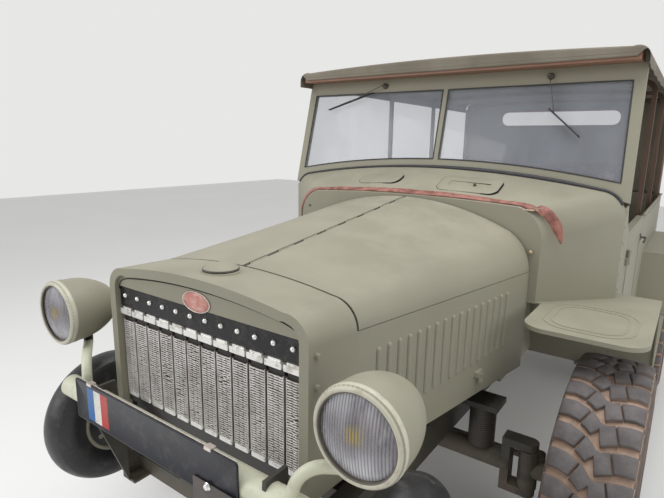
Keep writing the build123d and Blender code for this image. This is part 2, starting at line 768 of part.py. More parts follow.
# Front mudguards: flat plates with round corners and a rolled edge, that slope down to the step
guard_corner = 72.0
guard_lip = 14.0
guard_rim = 5.0
ring_margin = 42.0
ring_length = 300.0
ring_corner = 95.0
ring_width = 5.0
ring_height = 1.5


def guard_plan(side, inset):
    """Plan of the mudguard's flat top, with its free corners round, inset from its free edges."""
    inner, outer = side * (guard_inner + inset), side * (guard_outer - inset)
    front = guard_front_y + inset
    with BuildSketch(Plane.XY.offset(guard_top - guard_lip)) as outline:
        with BuildLine():
            Polyline((inner, lip_y - guard_notch), (inner, front), (outer, front), (outer, guard_bend_y - 4),
                     (side * (foot_half + clear), guard_bend_y - 4),
                     (side * (foot_half + clear), lip_y - guard_notch), close=True)
        make_face()
        free = outline.vertices().group_by(Axis.Y)[0]
        fillet(free, radius=guard_corner - inset)
    return outline.sketch.face()


with BuildPart() as mudguards_front:
    for side in (1, -1):
        extrude(guard_plan(side, 0), amount=guard_lip)
        extrude(guard_plan(side, guard_rim), amount=guard_lip - panel, mode=Mode.SUBTRACT)
        with BuildSketch(Plane.XY.offset(guard_top - guard_lip)):
            middle_y = (lip_y - guard_notch + guard_bend_y) / 2
            with Locations((side * (foot_half + guard_outer - guard_rim) / 2, middle_y)):
                Rectangle(guard_outer - guard_rim - foot_half, guard_bend_y - lip_y + guard_notch)
        extrude(amount=guard_lip - panel, mode=Mode.SUBTRACT)
    for side in (1, -1):
        for low_x, high_x, thickness in ((foot_half + clear, guard_outer, panel),
                                         (guard_outer - guard_rim, guard_outer, guard_lip)):
            with BuildSketch(along(side * low_x)):
                with BuildLine():
                    Polyline((guard_bend_y - thickness * 0.7, guard_top - thickness),
                             (guard_bend_y - thickness * 0.7, guard_top), (guard_bend_y, guard_top),
                             (guard_foot_y, step_z + clear), (guard_foot_y - thickness, step_z + clear),
                             close=True)
                make_face()
            extrude(amount=side * (high_x - low_x))
    for inset in (0.0, 26.0):
        wide = guard_outer - guard_inner - 2 * (ring_margin + inset)
        long = ring_length - 2 * inset
        corner = ring_corner - inset
        with BuildSketch(Plane.XY.offset(guard_top)):
            for side in (1, -1):
                middle_x = side * (guard_outer + guard_inner) / 2
                with Locations((middle_x, guard_front_y + ring_margin + ring_length / 2)):
                    RectangleRounded(wide, long, corner)
                    RectangleRounded(wide - 2 * ring_width, long - 2 * ring_width, corner - ring_width,
                                     mode=Mode.SUBTRACT)
        extrude(amount=ring_height)
write(mudguards_front, "mudguards_front")

# Steps between the mudguards
step_back_y = rear_axle_y - arch_half_length - 10.0
with BuildPart() as steps:
    for side in (1, -1):
        with BuildSketch(Plane.XY.offset(step_z - panel)):
            with Locations((side * (guard_outer + 640) / 2, (guard_foot_y - 30 + step_back_y) / 2)):
                RectangleRounded(guard_outer - 640, step_back_y - guard_foot_y + 30, 12)
        extrude(amount=panel)
        for y in (guard_foot_y + 150, step_back_y - 150):
            with BuildSketch(along(side * rail_outer)):
                with Locations((y, step_z - panel - 25)):
                    Rectangle(40, 50)
            extrude(amount=side * (820 - rail_outer))
write(steps, "steps")

# Back mudguards: flat tops over the wheels with a slope at each end
with BuildPart() as mudguards_rear:
    for side in (1, -1):
        with BuildSketch(along(side * (body_half + clear))):
            with BuildLine():
                front = rear_axle_y - arch_half_length
                back = rear_axle_y + arch_half_length
                Polyline((front, step_z + clear), (front + 60, guard_top - 30), (back - 60, guard_top - 30),
                         (back, step_z + 60), (back - 6, step_z + 60), (back - 65, guard_top - 36),
                         (front + 65, guard_top - 36), (front + 6, step_z + clear), (front, step_z + clear))
            make_face()
        extrude(amount=side * (guard_outer - body_half - clear))
        with BuildSketch(along(side * (guard_outer - guard_rim))):
            with BuildLine():
                Polyline((front + 60, guard_top - 30), (back - 60, guard_top - 30),
                         (back - 66, guard_top - 50), (front + 66, guard_top - 50), close=True)
            make_face()
        extrude(amount=side * guard_rim)
write(mudguards_rear, "mudguards_rear")

# Body sides: one sheet each, with the door opening and the wheel arch cut out
door_bottom = 700.0
hinge_heights = (790.0, 1110.0)
pin_x = body_half + 10.0
side_peak = 1366.0
for name, side in (("body_side_left", 1), ("body_side_right", -1)):
    with BuildPart() as body_side:
        with BuildSketch(along(side * (body_half - panel))):
            with BuildLine():
                Polyline((guard_slope_y(step_z) + 1, step_z), (guard_bend_y + 1, guard_top + clear),
                         (screen_y + clear, guard_top + clear), (screen_y + clear, side_peak),
                         (screen_y + 80, side_peak))
                ThreePointArc((screen_y + 80, side_peak), (screen_y + 135, 1290), (door_front_y, body_top))
                Polyline((door_front_y, body_top), (tail_y - panel, body_top), (tail_y - panel, step_z),
                         (guard_slope_y(step_z) + 1, step_z))
            make_face()
            with BuildLine():
                Polyline((door_front_y, door_bottom), (door_back_y, door_bottom), (door_back_y, body_top + 1),
                         (door_front_y, body_top + 1), (door_front_y, door_bottom))
            make_face(mode=Mode.SUBTRACT)
            with BuildLine():
                arch_front, arch_back = rear_axle_y - arch_half_length, rear_axle_y + arch_half_length
                Polyline((arch_front + panel, step_z - 1), (arch_front + 66, guard_top - 36),
                         (arch_back - 66, guard_top - 36), (arch_back - panel, step_z - 1), close=True)
            make_face(mode=Mode.SUBTRACT)
        extrude(amount=side * panel)
        for low in hinge_heights:
            with BuildSketch(Plane.XY.offset(low)):
                with Locations((side * pin_x, door_front_y)):
                    Circle(8)
                with Locations((side * (pin_x - 5), door_front_y - 14)):
                    Rectangle(10, 28)
            extrude(amount=30)
            with BuildSketch(Plane.XY.offset(low)):
                with Locations((side * pin_x, door_front_y)):
                    Circle(4)
            extrude(amount=62)
    write(body_side, name)

# Doors: pressed half doors hinged at the front
door_thickness = 28.0
for name, side in (("door_left", 1), ("door_right", -1)):
    with BuildPart() as door:
        with BuildSketch(along(side * (body_half - door_thickness))):
            with Locations(((door_front_y + door_back_y) / 2, (door_bottom + body_top) / 2)):
                RectangleRounded(door_length - 2 * moving_gap, body_top - door_bottom - 2 * moving_gap, 20)
        extrude(amount=side * door_thickness)
        for low in hinge_heights:
            with BuildSketch(Plane.XY.offset(low + 30 + clear)):
                with Locations((side * pin_x, door_front_y)):
                    Circle(8)
                with Locations((side * (pin_x - 5), door_front_y + 14)):
                    Rectangle(10, 28)
                with Locations((side * pin_x, door_front_y)):
                    Circle(4 + running_fit, mode=Mode.SUBTRACT)
            extrude(amount=30)
    write(door, name)

# Tail panel with the spare wheel's boss
with BuildPart() as rear_panel:
    with BuildSketch(across(tail_y - panel)):
        with Locations((0, (rail_top + clear + body_top) / 2)):
            Rectangle(2 * body_half, body_top - rail_top - clear)
    extrude(amount=-panel)
    with BuildSketch(across(tail_y)):
        with Locations((0, spare_z)):
            Circle(70)
    extrude(amount=-(spare_y - 12.5 - clear - tail_y))
    with BuildSketch(across(tail_y)):
        with Locations((0, spare_z)):
            Circle(stub_radius - 2 - clear)
    extrude(amount=-(spare_y + 30 - tail_y))
write(rear_panel, "rear_panel")

# Windscreen: a leaning frame with an arched foot and two panes
lean = radians(13)
frame_depth = 24.0
frame_foot = -16.0
# The leaning frame meets the cowl's edge a little above the tips of its arched foot
contact_rise = 6.5
foot_y = screen_y + clear + frame_depth / 2 * cos(lean) - (frame_foot + contact_rise) * sin(lean)
foot_z = 1395.0
screen_foot = (0, foot_y, foot_z)
screen_plane = Plane(screen_foot, x_dir=(1, 0, 0), z_dir=(0, -cos(lean), sin(lean)))
frame_half = 787.0
header_rise = 68.0
frame_top = (roof_top - header_rise - foot_z) / cos(lean)
foot_rise = 90.0
frame_bar = 38.0
frame_board = 64.0
divider = 24.0
pane_corner = 18.0


def pane(plane, side, gap):
    """One pane's outline in the screen's plane, smaller all round by gap."""
    inner = divider / 2 + gap
    half_foot = frame_half - frame_bar - gap
    half_top = frame_half - frame_bar - 12 - gap
    foot = 56 + gap
    rise = foot_rise - 22
    mid = (half_foot + inner) / 2
    curve_mid = foot + rise * (1 - (mid / half_foot) ** 2)
    curve_in = foot + rise * (1 - (inner / half_foot) ** 2)
    with BuildSketch(plane) as outline:
        with BuildLine():
            ThreePointArc((side * inner, curve_in), (side * mid, curve_mid), (side * half_foot, foot))
            Polyline((side * half_foot, foot), (side * half_top, frame_top - frame_board - gap),
                     (side * inner, frame_top - frame_board - gap), (side * inner, curve_in))
        make_face()
    return outline.sketch.face()


with BuildPart() as windscreen_frame:
    back_plane = screen_plane.offset(-frame_depth / 2)
    with BuildSketch(back_plane):
        with BuildLine():
            ThreePointArc((-frame_half, frame_foot), (0, frame_foot + foot_rise), (frame_half, frame_foot))
            Polyline((frame_half, frame_foot), (frame_half - 10, frame_top),
                     (10 - frame_half, frame_top), (-frame_half, frame_foot))
        make_face()
    extrude(amount=frame_depth)
    for side in (1, -1):
        extrude(pane(back_plane.offset(-1), side, 0), amount=frame_depth + 2, mode=Mode.SUBTRACT)
write(windscreen_frame, "windscreen_frame")

with BuildPart() as windscreen_glass:
    for side in (1, -1):
        extrude(pane(screen_plane.offset(-3), side, clear), amount=6)
write(windscreen_glass, "windscreen_glass")

# Wipers: a small motor box on the frame's top board with an arm and a blade, one for each pane
pivot_height = frame_top - 34
# Each row is the box's x, the arm's end, and the blade's two ends, in the screen's plane
wiper_places = ((470.0, (500.0, pivot_height - 75), (465.0, pivot_height - 62), (590.0, pivot_height - 130)),
                (-260.0, (-340.0, pivot_height - 60), (-270.0, pivot_height - 42),
                 (-480.0, pivot_height - 95)))
with BuildPart() as wipers:
    pivot = screen_plane.offset(frame_depth / 2 + clear)
    for x, arm_end, blade_start, blade_end in wiper_places:
        with BuildSketch(pivot):
            with Locations((x, pivot_height)):
                RectangleRounded(46, 30, 6)
        extrude(amount=26)
        for start, end, width, back, thickness in (((x, pivot_height), arm_end, 7, 8, 5),
                                                   (blade_start, blade_end, 9, -6, 16)):
            run = (end[0] - start[0], end[1] - start[1])
            with BuildSketch(pivot.offset(back)):
                middle = ((start[0] + end[0]) / 2, (start[1] + end[1]) / 2)
                with Locations(Location(middle, degrees(atan2(run[1], run[0])))):
                    Rectangle(hypot(*run), width)
            extrude(amount=thickness)
write(wipers, "wipers")

# Canvas top: crowned roof with short valances, open sides and a back curtain with a window
roof_front_y = radiator_y + 1370.0
roof_back_y = tail_y - panel
roof_half = 788.0
valance = roof_top - 87.0
window_z = roof_top - 147.0
roof_section = (roof_half, roof_top, 730.0, roof_top - 18, roof_top - 60, valance)
with BuildPart() as canvas_top:
    extrude(arch(roof_front_y, roof_section), amount=-(roof_back_y - roof_front_y))
    extrude(arch(roof_front_y - 1, roof_section, canvas, 50),
            amount=-(roof_back_y - roof_front_y - canvas + 1), mode=Mode.SUBTRACT)
    with BuildSketch(across(roof_back_y - canvas)):
        with Locations((0, (body_top + clear + valance) / 2)):
            Rectangle(2 * (body_half - 15), valance - body_top - clear)
    extrude(amount=-canvas)
    with BuildSketch(across(roof_back_y - 2 * canvas)):
        with Locations((0, window_z)):
            RectangleRounded(900, 112, 50)
    extrude(amount=-3 * canvas, mode=Mode.SUBTRACT)
write(canvas_top, "canvas_top")

# Bows that carry the canvas: a wooden header on the windscreen and three hoops on the body
hoop_y = (door_back_y + 60.0, tail_y - 770.0, tail_y - 60.0)
hoop_half = body_half - panel - 14.0
hoop_radius = 11.0
hoop_foot = 1000.0
hoop_bend = roof_top - 95.0
hoop_shoulder = roof_top - 34.0
hoop_tube = 2 * hoop_radius
header_half = 760.0
header_back_y = screen_foot[1] + frame_top * sin(lean) + 30
header_z = foot_z + frame_top * cos(lean) + frame_depth / 2 * sin(lean) + clear


def hoop_outline(y):
    """One hoop's upright outline at station y: two legs, round shoulders and a crowned middle."""
    outer, inner = hoop_half, hoop_half - hoop_tube
    crown = roof_top - canvas - clear
    with BuildSketch(across(y)) as outline:
        with BuildLine():
            Polyline((-outer, hoop_foot), (-outer, hoop_bend))
            TangentArc((-outer, hoop_bend), (60 - outer, hoop_shoulder), tangent=(0, 1))
            ThreePointArc((60 - outer, hoop_shoulder), (0, crown), (outer - 60, hoop_shoulder))
            TangentArc((outer, hoop_bend), (outer - 60, hoop_shoulder), tangent=(0, 1))
            Polyline((outer, hoop_bend), (outer, hoop_foot), (inner, hoop_foot), (inner, hoop_bend - 10))
            TangentArc((inner, hoop_bend - 10), (inner - 48, hoop_shoulder - hoop_tube), tangent=(0, 1))
            ThreePointArc((inner - 48, hoop_shoulder - hoop_tube), (0, crown - hoop_tube),
                          (48 - inner, hoop_shoulder - hoop_tube))
            TangentArc((-inner, hoop_bend - 10), (48 - inner, hoop_shoulder - hoop_tube), tangent=(0, 1))
            Polyline((-inner, hoop_bend - 10), (-inner, hoop_foot), (-outer, hoop_foot))
        make_face()
    return outline.sketch.face()


with BuildPart() as top_bows:
    with BuildSketch(across(roof_front_y + 8)):
        with BuildLine():
            Polyline((-header_half, header_z), (header_half, header_z), (header_half, roof_top - 32))
            ThreePointArc((header_half, roof_top - 32), (0, roof_top - canvas - clear),
                          (-header_half, roof_top - 32))
            Line((-header_half, roof_top - 32), (-header_half, header_z))
        make_face()
    extrude(amount=-(header_back_y - roof_front_y - 8))
    for y in hoop_y:
        extrude(hoop_outline(y - hoop_radius), amount=-hoop_tube)
        for side in (1, -1):
            with Locations((side * (hoop_half + 7 - clear / 2), y, hoop_foot + 100)):
                Box(14 - clear, 22, 60)
write(top_bows, "top_bows")

# Seats: folded sheet bases with cushions, two in front and a bench behind
seat_x = 380.0
seat_width = 480.0
seat_front_y = radiator_y + 1900.0
seat_depth = 440.0
seat_base_top = 930.0
cushion = 110.0
back_top = 1480.0
bench_half = 620.0
bench_front_y = tail_y - 680.0
bench_depth = 430.0
places = ((seat_x, seat_width, seat_front_y, seat_depth), (-seat_x, seat_width, seat_front_y, seat_depth),
          (0.0, 2 * bench_half, bench_front_y, bench_depth))
with BuildPart() as seat_frames:
    for x, width, front, depth in places:
        middle = front + depth / 2
        with Locations((x, middle, (floor_z + panel + seat_base_top) / 2)):
            Box(width - 20, depth - 20, seat_base_top - floor_z - panel)
        with Locations((x, middle, (floor_z + panel + seat_base_top - 12) / 2)):
            Box(width, depth - 60, seat_base_top - floor_z - panel - 12, mode=Mode.SUBTRACT)
        with Locations((x, front + depth + 10, (seat_base_top + back_top - 40) / 2)):
            Box(width - 30, 8, back_top - 40 - seat_base_top)
        with Locations((x, front + depth - 5, seat_base_top - 10)):
            Box(width - 30, 38, 20)
write(seat_frames, "seat_frames")

with BuildPart() as seat_cushions:
    for x, width, front, depth in places:
        with BuildSketch(Plane.XY.offset(seat_base_top + clear)):
            with Locations((x, front + depth / 2 - 8)):
                RectangleRounded(width, depth - 10, 40)
        extrude(amount=cushion)
        with BuildSketch(across(front + depth + 6 - clear)):
            with Locations((x, (seat_base_top + cushion + 12 + back_top) / 2)):
                RectangleRounded(width, back_top - seat_base_top - cushion - 12, 40)
        extrude(amount=95)
write(seat_cushions, "seat_cushions")

# Bumper: a round bar through two plates on the frame's front ends, with bent lamp stalks
bar_y = radiator_y - 90.0
bar_z = 850.0
bar_radius = 32.0
bar_half = 485.0
lamp_x = 538.0
lamp_y = radiator_y - 70.0
lamp_z = 1066.0
lamp_radius = 98.0
lamp_length = 165.0
stalk_x = 390.0
stalk_radius = 14.0
stalk_bend = 70.0
stalk_z = lamp_z - 116.0
spigot_y = lamp_y + 70.0
spigot_top = lamp_z - lamp_radius + 3.9
with BuildPart() as bumper:
    with BuildSketch(along(-bar_half)):
        with Locations((bar_y, bar_z)):
            Circle(bar_radius)
    extrude(amount=2 * bar_half)
    for side in (1, -1):
        with BuildLine() as stalk:
            FilletPolyline((side * stalk_x, bar_y, bar_z + 10), (side * stalk_x, bar_y, stalk_z),
                           (side * lamp_x, spigot_y, stalk_z), (side * lamp_x, spigot_y, spigot_top),
                           radius=(stalk_bend, 20))
        with BuildSketch(Plane((side * stalk_x, bar_y, bar_z + 10), z_dir=(0, 0, 1))):
            Circle(stalk_radius)
        sweep(path=stalk.line)
write(bumper, "bumper")

with BuildPart() as bumper_plates:
    for side in (1, -1):
        with BuildSketch(along(side * (rail_x - 5))):
            with BuildLine():
                Polyline((rail_front_y - clear, rail_bottom), (rail_front_y - clear, rail_top),
                         (bar_y + 50, bar_z + 45), (bar_y - 20, bar_z + 45), (bar_y - 25, bar_z - 40),
                         (rail_front_y - clear, rail_bottom))
            make_face()
            with Locations((bar_y, bar_z)):
                Circle(bar_radius + clear, mode=Mode.SUBTRACT)
        extrude(amount=side * 10)
write(bumper_plates, "bumper_plates")

# Blank number plate on the bumper bar
plate_left = -384.0
plate_right = 270.0
plate_bottom = 800.0
plate_top = 920.0
with BuildPart() as number_plate:
    with BuildSketch(across(bar_y - bar_radius - clear)):
        with Locations(((plate_left + plate_right) / 2, (plate_bottom + plate_top) / 2)):
            RectangleRounded(plate_right - plate_left, plate_top - plate_bottom, 6)
    extrude(amount=4)
write(number_plate, "number_plate")

# Headlamps: a deep round bucket with a rim, and a lens in each
with BuildPart() as headlamps:
    for side in (1, -1):
        plane = Plane((side * lamp_x, lamp_y, lamp_z), x_dir=(0, 1, 0), z_dir=(1, 0, 0))
        with BuildSketch(plane):
            with BuildLine():
                Line((-22, lamp_radius - 12), (-22, lamp_radius - 6))
                ThreePointArc((-22, lamp_radius - 6), (-20, lamp_radius - 1.5), (-14, lamp_radius))
                Polyline((-14, lamp_radius), (12, lamp_radius), (12, lamp_radius - 2))
                ThreePointArc((12, lamp_radius - 2), (85, lamp_radius - 11.5), (135, lamp_radius - 38))
                ThreePointArc((135, lamp_radius - 38), (156, lamp_radius - 64), (lamp_length, 12))
                Polyline((lamp_length, 12), (lamp_length, 0), (lamp_length - 6, 0), (lamp_length - 6, 10))
                ThreePointArc((lamp_length - 6, 10), (151, lamp_radius - 67), (131, lamp_radius - 42))
                ThreePointArc((131, lamp_radius - 42), (83, lamp_radius - 16.5), (12, lamp_radius - 12))
                Line((12, lamp_radius - 12), (-22, lamp_radius - 12))
            make_face()
        revolve(axis=turned(plane))
write(headlamps, "headlamps")

with BuildPart() as lamp_lenses:
    for side in (1, -1):
        plane = Plane((side * lamp_x, lamp_y, lamp_z), x_dir=(0, 1, 0), z_dir=(1, 0, 0))
        with BuildSketch(plane):
            with BuildLine():
                Polyline((-14, 0), (-28, 0))
                ThreePointArc((-28, 0), (-24, 45), (-14, lamp_radius - 12 - clear))
                Polyline((-14, lamp_radius - 12 - clear), (-8, lamp_radius - 12 - clear), (-8, 0), (-14, 0))
            make_face()
        revolve(axis=turned(plane))
write(lamp_lenses, "lamp_lenses")

# Towing hook on the last cross member
hook_z = rail_bottom + member_height / 2
hook_outer = 45.0
hook_eye_y = tail_y + hook_reach - hook_outer
eye_radius = 24.0
with BuildPart() as tow_hook:
    with BuildSketch(across(rail_back_y)):
        with Locations((0, hook_z)):
            RectangleRounded(140, 48, 8)
    extrude(amount=-14)
    with BuildSketch(across(rail_back_y + 14)):
        with Locations((0, hook_z)):
            Circle(20)
    extrude(amount=-(hook_eye_y - 40 - rail_back_y - 14))
    with BuildSketch(Plane.XY.offset(hook_z - 17)):
        with Locations((0, hook_eye_y)):
            Circle(hook_outer)
            Circle(eye_radius, mode=Mode.SUBTRACT)
        with Locations((0, hook_eye_y - 60)):
            Rectangle(40, 60)
        with Locations((0, hook_eye_y)):
            Circle(eye_radius, mode=Mode.SUBTRACT)
    extrude(amount=34)
write(tow_hook, "tow_hook")

# Tail lamps under the back corners
with BuildPart() as tail_lamps:
    for side in (1, -1):
        with BuildSketch(across(tail_y)):
            with Locations((side * 690, 760)):
                Circle(42)
        extrude(amount=-45, taper=6)
write(tail_lamps, "tail_lamps")

# Leather strap over the cowl's lip
strap_width = 26.0
strap_thickness = 4.0
strap_y = lip_y + 6.0
strap_end = 1180.0
with BuildPart() as leather_strap:
    ends = []
    for y in (strap_y, strap_y + strap_width):
        section = blend(lip_section, screen_section, (y - lip_y) / (screen_y - lip_y))
        ends.append((y, (*section[:5], strap_end)))
    loft([arch(y, section, -clear - strap_thickness) for y, section in ends], ruled=True)
    loft([arch(y, section, -clear, 1) for y, section in ends], ruled=True, mode=Mode.SUBTRACT)
write(leather_strap, "leather_strap")
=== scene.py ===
import json
from math import cos, pi, radians, sin

import bmesh
import bpy
import numpy as np
from mathutils import Matrix, Vector


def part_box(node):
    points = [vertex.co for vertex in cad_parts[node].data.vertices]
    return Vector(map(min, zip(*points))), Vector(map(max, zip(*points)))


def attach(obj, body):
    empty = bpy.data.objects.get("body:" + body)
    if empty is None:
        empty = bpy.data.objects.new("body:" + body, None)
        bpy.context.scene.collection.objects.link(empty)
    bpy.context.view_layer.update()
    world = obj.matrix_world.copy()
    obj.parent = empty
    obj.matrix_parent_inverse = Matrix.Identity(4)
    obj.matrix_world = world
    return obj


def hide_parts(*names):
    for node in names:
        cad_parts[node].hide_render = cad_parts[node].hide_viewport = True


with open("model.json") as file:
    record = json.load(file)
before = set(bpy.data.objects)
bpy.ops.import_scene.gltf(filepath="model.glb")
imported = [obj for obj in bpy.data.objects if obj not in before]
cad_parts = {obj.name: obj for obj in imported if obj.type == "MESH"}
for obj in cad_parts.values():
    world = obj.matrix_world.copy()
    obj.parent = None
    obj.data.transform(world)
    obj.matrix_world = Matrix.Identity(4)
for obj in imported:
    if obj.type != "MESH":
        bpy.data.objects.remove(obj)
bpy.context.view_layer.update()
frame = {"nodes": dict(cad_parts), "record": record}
nodes = frame["nodes"]

# Stations of the car that several pieces need, read from the frame, in metres
shell_low, shell_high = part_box("radiator_shell")
elements_low, elements_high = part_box("radiator_elements")
radiator_y = shell_low.y + 0.012
element_top = elements_high.z


class Signal:
    """One output of a shader node, so that the maths of a pattern reads as arithmetic."""

    def __init__(self, finish, socket):
        self.finish, self.socket = finish, socket

    def maths(self, operation, *others):
        return self.finish.add("ShaderNodeMath", {"operation": operation}, dict(enumerate((self, *others))))

    def __add__(self, other):
        return self.maths("ADD", other)

    def __mul__(self, other):
        return self.maths("MULTIPLY", other)

    __radd__, __rmul__ = __add__, __mul__

    def __sub__(self, other):
        return self.maths("SUBTRACT", other)

    def __rsub__(self, other):
        return self * -1.0 + other

    def above(self, edge, width=0.0005):
        """0 under an edge and 1 over it, with a soft step of the given width."""
        limits = {"Value": self, "From Min": edge - width, "From Max": edge + width}
        return self.finish.add("ShaderNodeMapRange", {"interpolation_type": "SMOOTHSTEP"}, limits)

    def below(self, edge, width):
        return 1.0 - self.above(edge, width)

    def between(self, low, high, width=0.0005):
        return self.above(low, width) * self.below(high, width)

    def wave(self, pitch):
        """A sine of the given pitch, from 0 to 1."""
        return (self * (2 * pi / pitch)).maths("SINE") * 0.5 + 0.5


class Finish:
    """A procedural material, built from expressions on the place of each point of a piece."""

    def __init__(self, name, roughness=0.5, metallic=0.0, **steady):
        self.material = bpy.data.materials.new(name)
        self.material.use_nodes = True
        self.tree = self.material.node_tree
        self.shader = self.tree.nodes["Principled BSDF"]
        for socket, value in {"Roughness": roughness, "Metallic": metallic, **steady}.items():
            self.shader.inputs[socket.replace("_", " ")].default_value = value

    def add(self, kind, settings, inputs, output=0):
        """Adds a node, gives it its settings and inputs, and returns one of its outputs."""
        node = self.tree.nodes.new(kind)
        for setting, value in settings.items():
            setattr(node, setting, value)
        for socket, value in inputs.items():
            if isinstance(value, Signal):
                self.tree.links.new(value.socket, node.inputs[socket])
            else:
                node.inputs[socket].default_value = value
        return Signal(self, node.outputs[output])

    def place(self, stretch=(1.0, 1.0, 1.0)):
        """The point's place, scaled along each axis."""
        where = self.add("ShaderNodeTexCoord", {}, {}, "Object")
        return self.add("ShaderNodeVectorMath", {"operation": "MULTIPLY"}, {0: where, 1: stretch})

    def attribute(self, name):
        return self.add("ShaderNodeAttribute", {"attribute_name": name}, {}, "Fac")

    def axes(self, vector=None):
        """The three parts of a vector, or of the point's place."""
        vector = vector or self.place()
        return [self.add("ShaderNodeSeparateXYZ", {}, {0: vector}, axis) for axis in range(3)]

    def upward(self):
        """How far a surface faces the sky, from -1 to 1."""
        return self.axes(self.add("ShaderNodeNewGeometry", {}, {}, "Normal"))[2]

    def noise(self, scale, detail, uneven=0.5, stretch=(1.0, 1.0, 1.0)):
        inputs = {"Vector": self.place(stretch), "Scale": scale, "Detail": detail, "Roughness": uneven}
        return self.add("ShaderNodeTexNoise", {}, inputs)

    def mix(self, share, first, second):
        """A colour that goes from the first to the second as share goes from 0 to 1."""
        first, second = (tone if isinstance(tone, Signal) else (*tone, 1.0) for tone in (first, second))
        return self.add("ShaderNodeMix", {"data_type": "RGBA"}, {"Factor": share, 6: first, 7: second}, 2)

    def paint(self, socket, signal):
        self.tree.links.new(signal.socket, self.shader.inputs[socket])
        return self

    def colour(self, share, first, second):
        return self.paint("Base Color", self.mix(share, first, second))

    def bump(self, height, distance, strength):
        raised = self.add("ShaderNodeBump", {}, {"Height": height, "Distance": distance, "Strength": strength})
        return self.paint("Normal", raised)

    def grain(self, scale, distance, strength, detail=3.0, uneven=0.5):
        return self.bump(self.noise(scale, detail, uneven), distance, strength)


def two_tone(name, first, second, scale, detail=3, uneven=0.5, edge=None, share=1, dullness=None, **steady):
    """A finish that wanders between two tones; with an edge, the second tone lies in patches.

    dullness is the roughness of the first tone, and what the second adds to it."""
    finish = Finish(name, **steady)
    spread = finish.noise(scale, detail, uneven)
    if edge:
        spread = spread.above(*edge) * share
    if dullness:
        finish.paint("Roughness", dullness[0] + spread * dullness[1])
    return finish.colour(spread, first, second)


# Colours as they are in plain light
olive = (0.285, 0.272, 0.205)
black = (0.018, 0.018, 0.02)
canvas_shade = (0.075, 0.066, 0.05)


def body_paint():
    """Matt olive paint: slow patches of shade, fine brushed grain, dust on what faces up."""
    finish = Finish("olive_paint", roughness=0.55)
    colour = finish.mix(finish.noise(1.6, 3, 0.5).above(0.56, 0.2) * 0.45, olive, (0.215, 0.203, 0.15))
    dusty = finish.upward().above(0.75, 0.3) * finish.noise(7, 5, 0.65).above(0.52, 0.16) * 0.45
    colour = finish.mix(dusty, colour, (0.36, 0.335, 0.26))
    x, y, z = finish.axes()
    hood_low, hood_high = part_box("hood_left")
    joint = x.between(-0.0026, 0.0026, 0.0006) * z.above(1.2) * y.between(hood_low.y - 0.004, hood_high.y, 0.001)
    colour = finish.mix(joint, colour, (0.035, 0.032, 0.026))
    chips = finish.noise(60, 4, 0.7).above(0.73, 0.012) * 0.5
    finish.colour(chips, colour, (0.12, 0.115, 0.09))
    finish.paint("Roughness", 0.46 + 0.14 * finish.noise(14, 3) + dusty * 0.3)
    return finish.bump(finish.noise(420, 3, 0.6) + finish.noise(5, 2) * 4, 0.0004, 0.35)


def frame_paint():
    """Dark olive running gear, with dry mud that thickens towards the ground."""
    finish = Finish("frame_paint", roughness=0.62)
    mud = finish.noise(9, 6, 0.7).above(0.5, 0.12) * finish.axes()[2].below(0.5, 0.25) * 0.7
    colour = finish.mix(finish.noise(5, 4).above(0.5, 0.2), (0.07, 0.066, 0.05), (0.04, 0.038, 0.03))
    finish.colour(mud, colour, (0.2, 0.155, 0.115))
    finish.paint("Roughness", 0.55 + 0.35 * mud)
    return finish.bump(finish.noise(90, 5, 0.7) + mud * 1.5, 0.0015, 0.5)


def bumper_paint():
    """Pale grey-green tube paint; the short spigots under the lamps are black."""
    finish = Finish("bumper_paint", roughness=0.4)
    x, _, z = finish.axes()
    spigot = z.above(0.958, 0.001) * x.maths("ABSOLUTE").above(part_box("lamp_lenses")[1].x - 0.112, 0.001)
    worn = finish.noise(18, 4, 0.65).above(0.62, 0.1) * 0.7
    finish.colour(spigot, finish.mix(worn, (0.6, 0.61, 0.47), (0.4, 0.39, 0.3)), black)
    return finish.grain(150, 0.0004, 0.4)


def tyre_rubber():
    """Worn rubber: grey-violet on the blocks, tan dust in the grooves, brown dust on the sidewalls."""
    finish = Finish("tyre_rubber", roughness=0.8)
    raised = finish.attribute("raised")
    scuff = finish.noise(26, 5, 0.65).above(0.5, 0.2)
    dust = finish.noise(11, 5, 0.65).above(0.5, 0.2)
    top = finish.mix(scuff, (0.155, 0.14, 0.14), (0.105, 0.094, 0.092))
    groove = finish.mix(scuff, (0.46, 0.33, 0.25), (0.31, 0.215, 0.165))
    wall = finish.mix(dust, (0.075, 0.066, 0.062), (0.2, 0.145, 0.115))
    colour = finish.mix(raised.above(0.3, 0.12), groove, wall)
    finish.colour(raised.above(0.8, 0.07), colour, top)
    finish.paint("Roughness", 0.7 + 0.25 * dust)
    return finish.grain(240, 0.0008, 0.5, 4, 0.6)


def clear_glass(name, tint, roughness, solid):
    """Thin glass that lets most light through; solid is the share it holds back."""
    finish = Finish(name, roughness=roughness, IOR=1.45, Alpha=solid)
    smears = finish.noise(6, 4, 0.6, (1, 1, 0.4)).above(0.55, 0.15)
    finish.colour(smears, tint, tuple(0.8 * part for part in tint))
    return finish.paint("Roughness", roughness + 0.12 * smears)


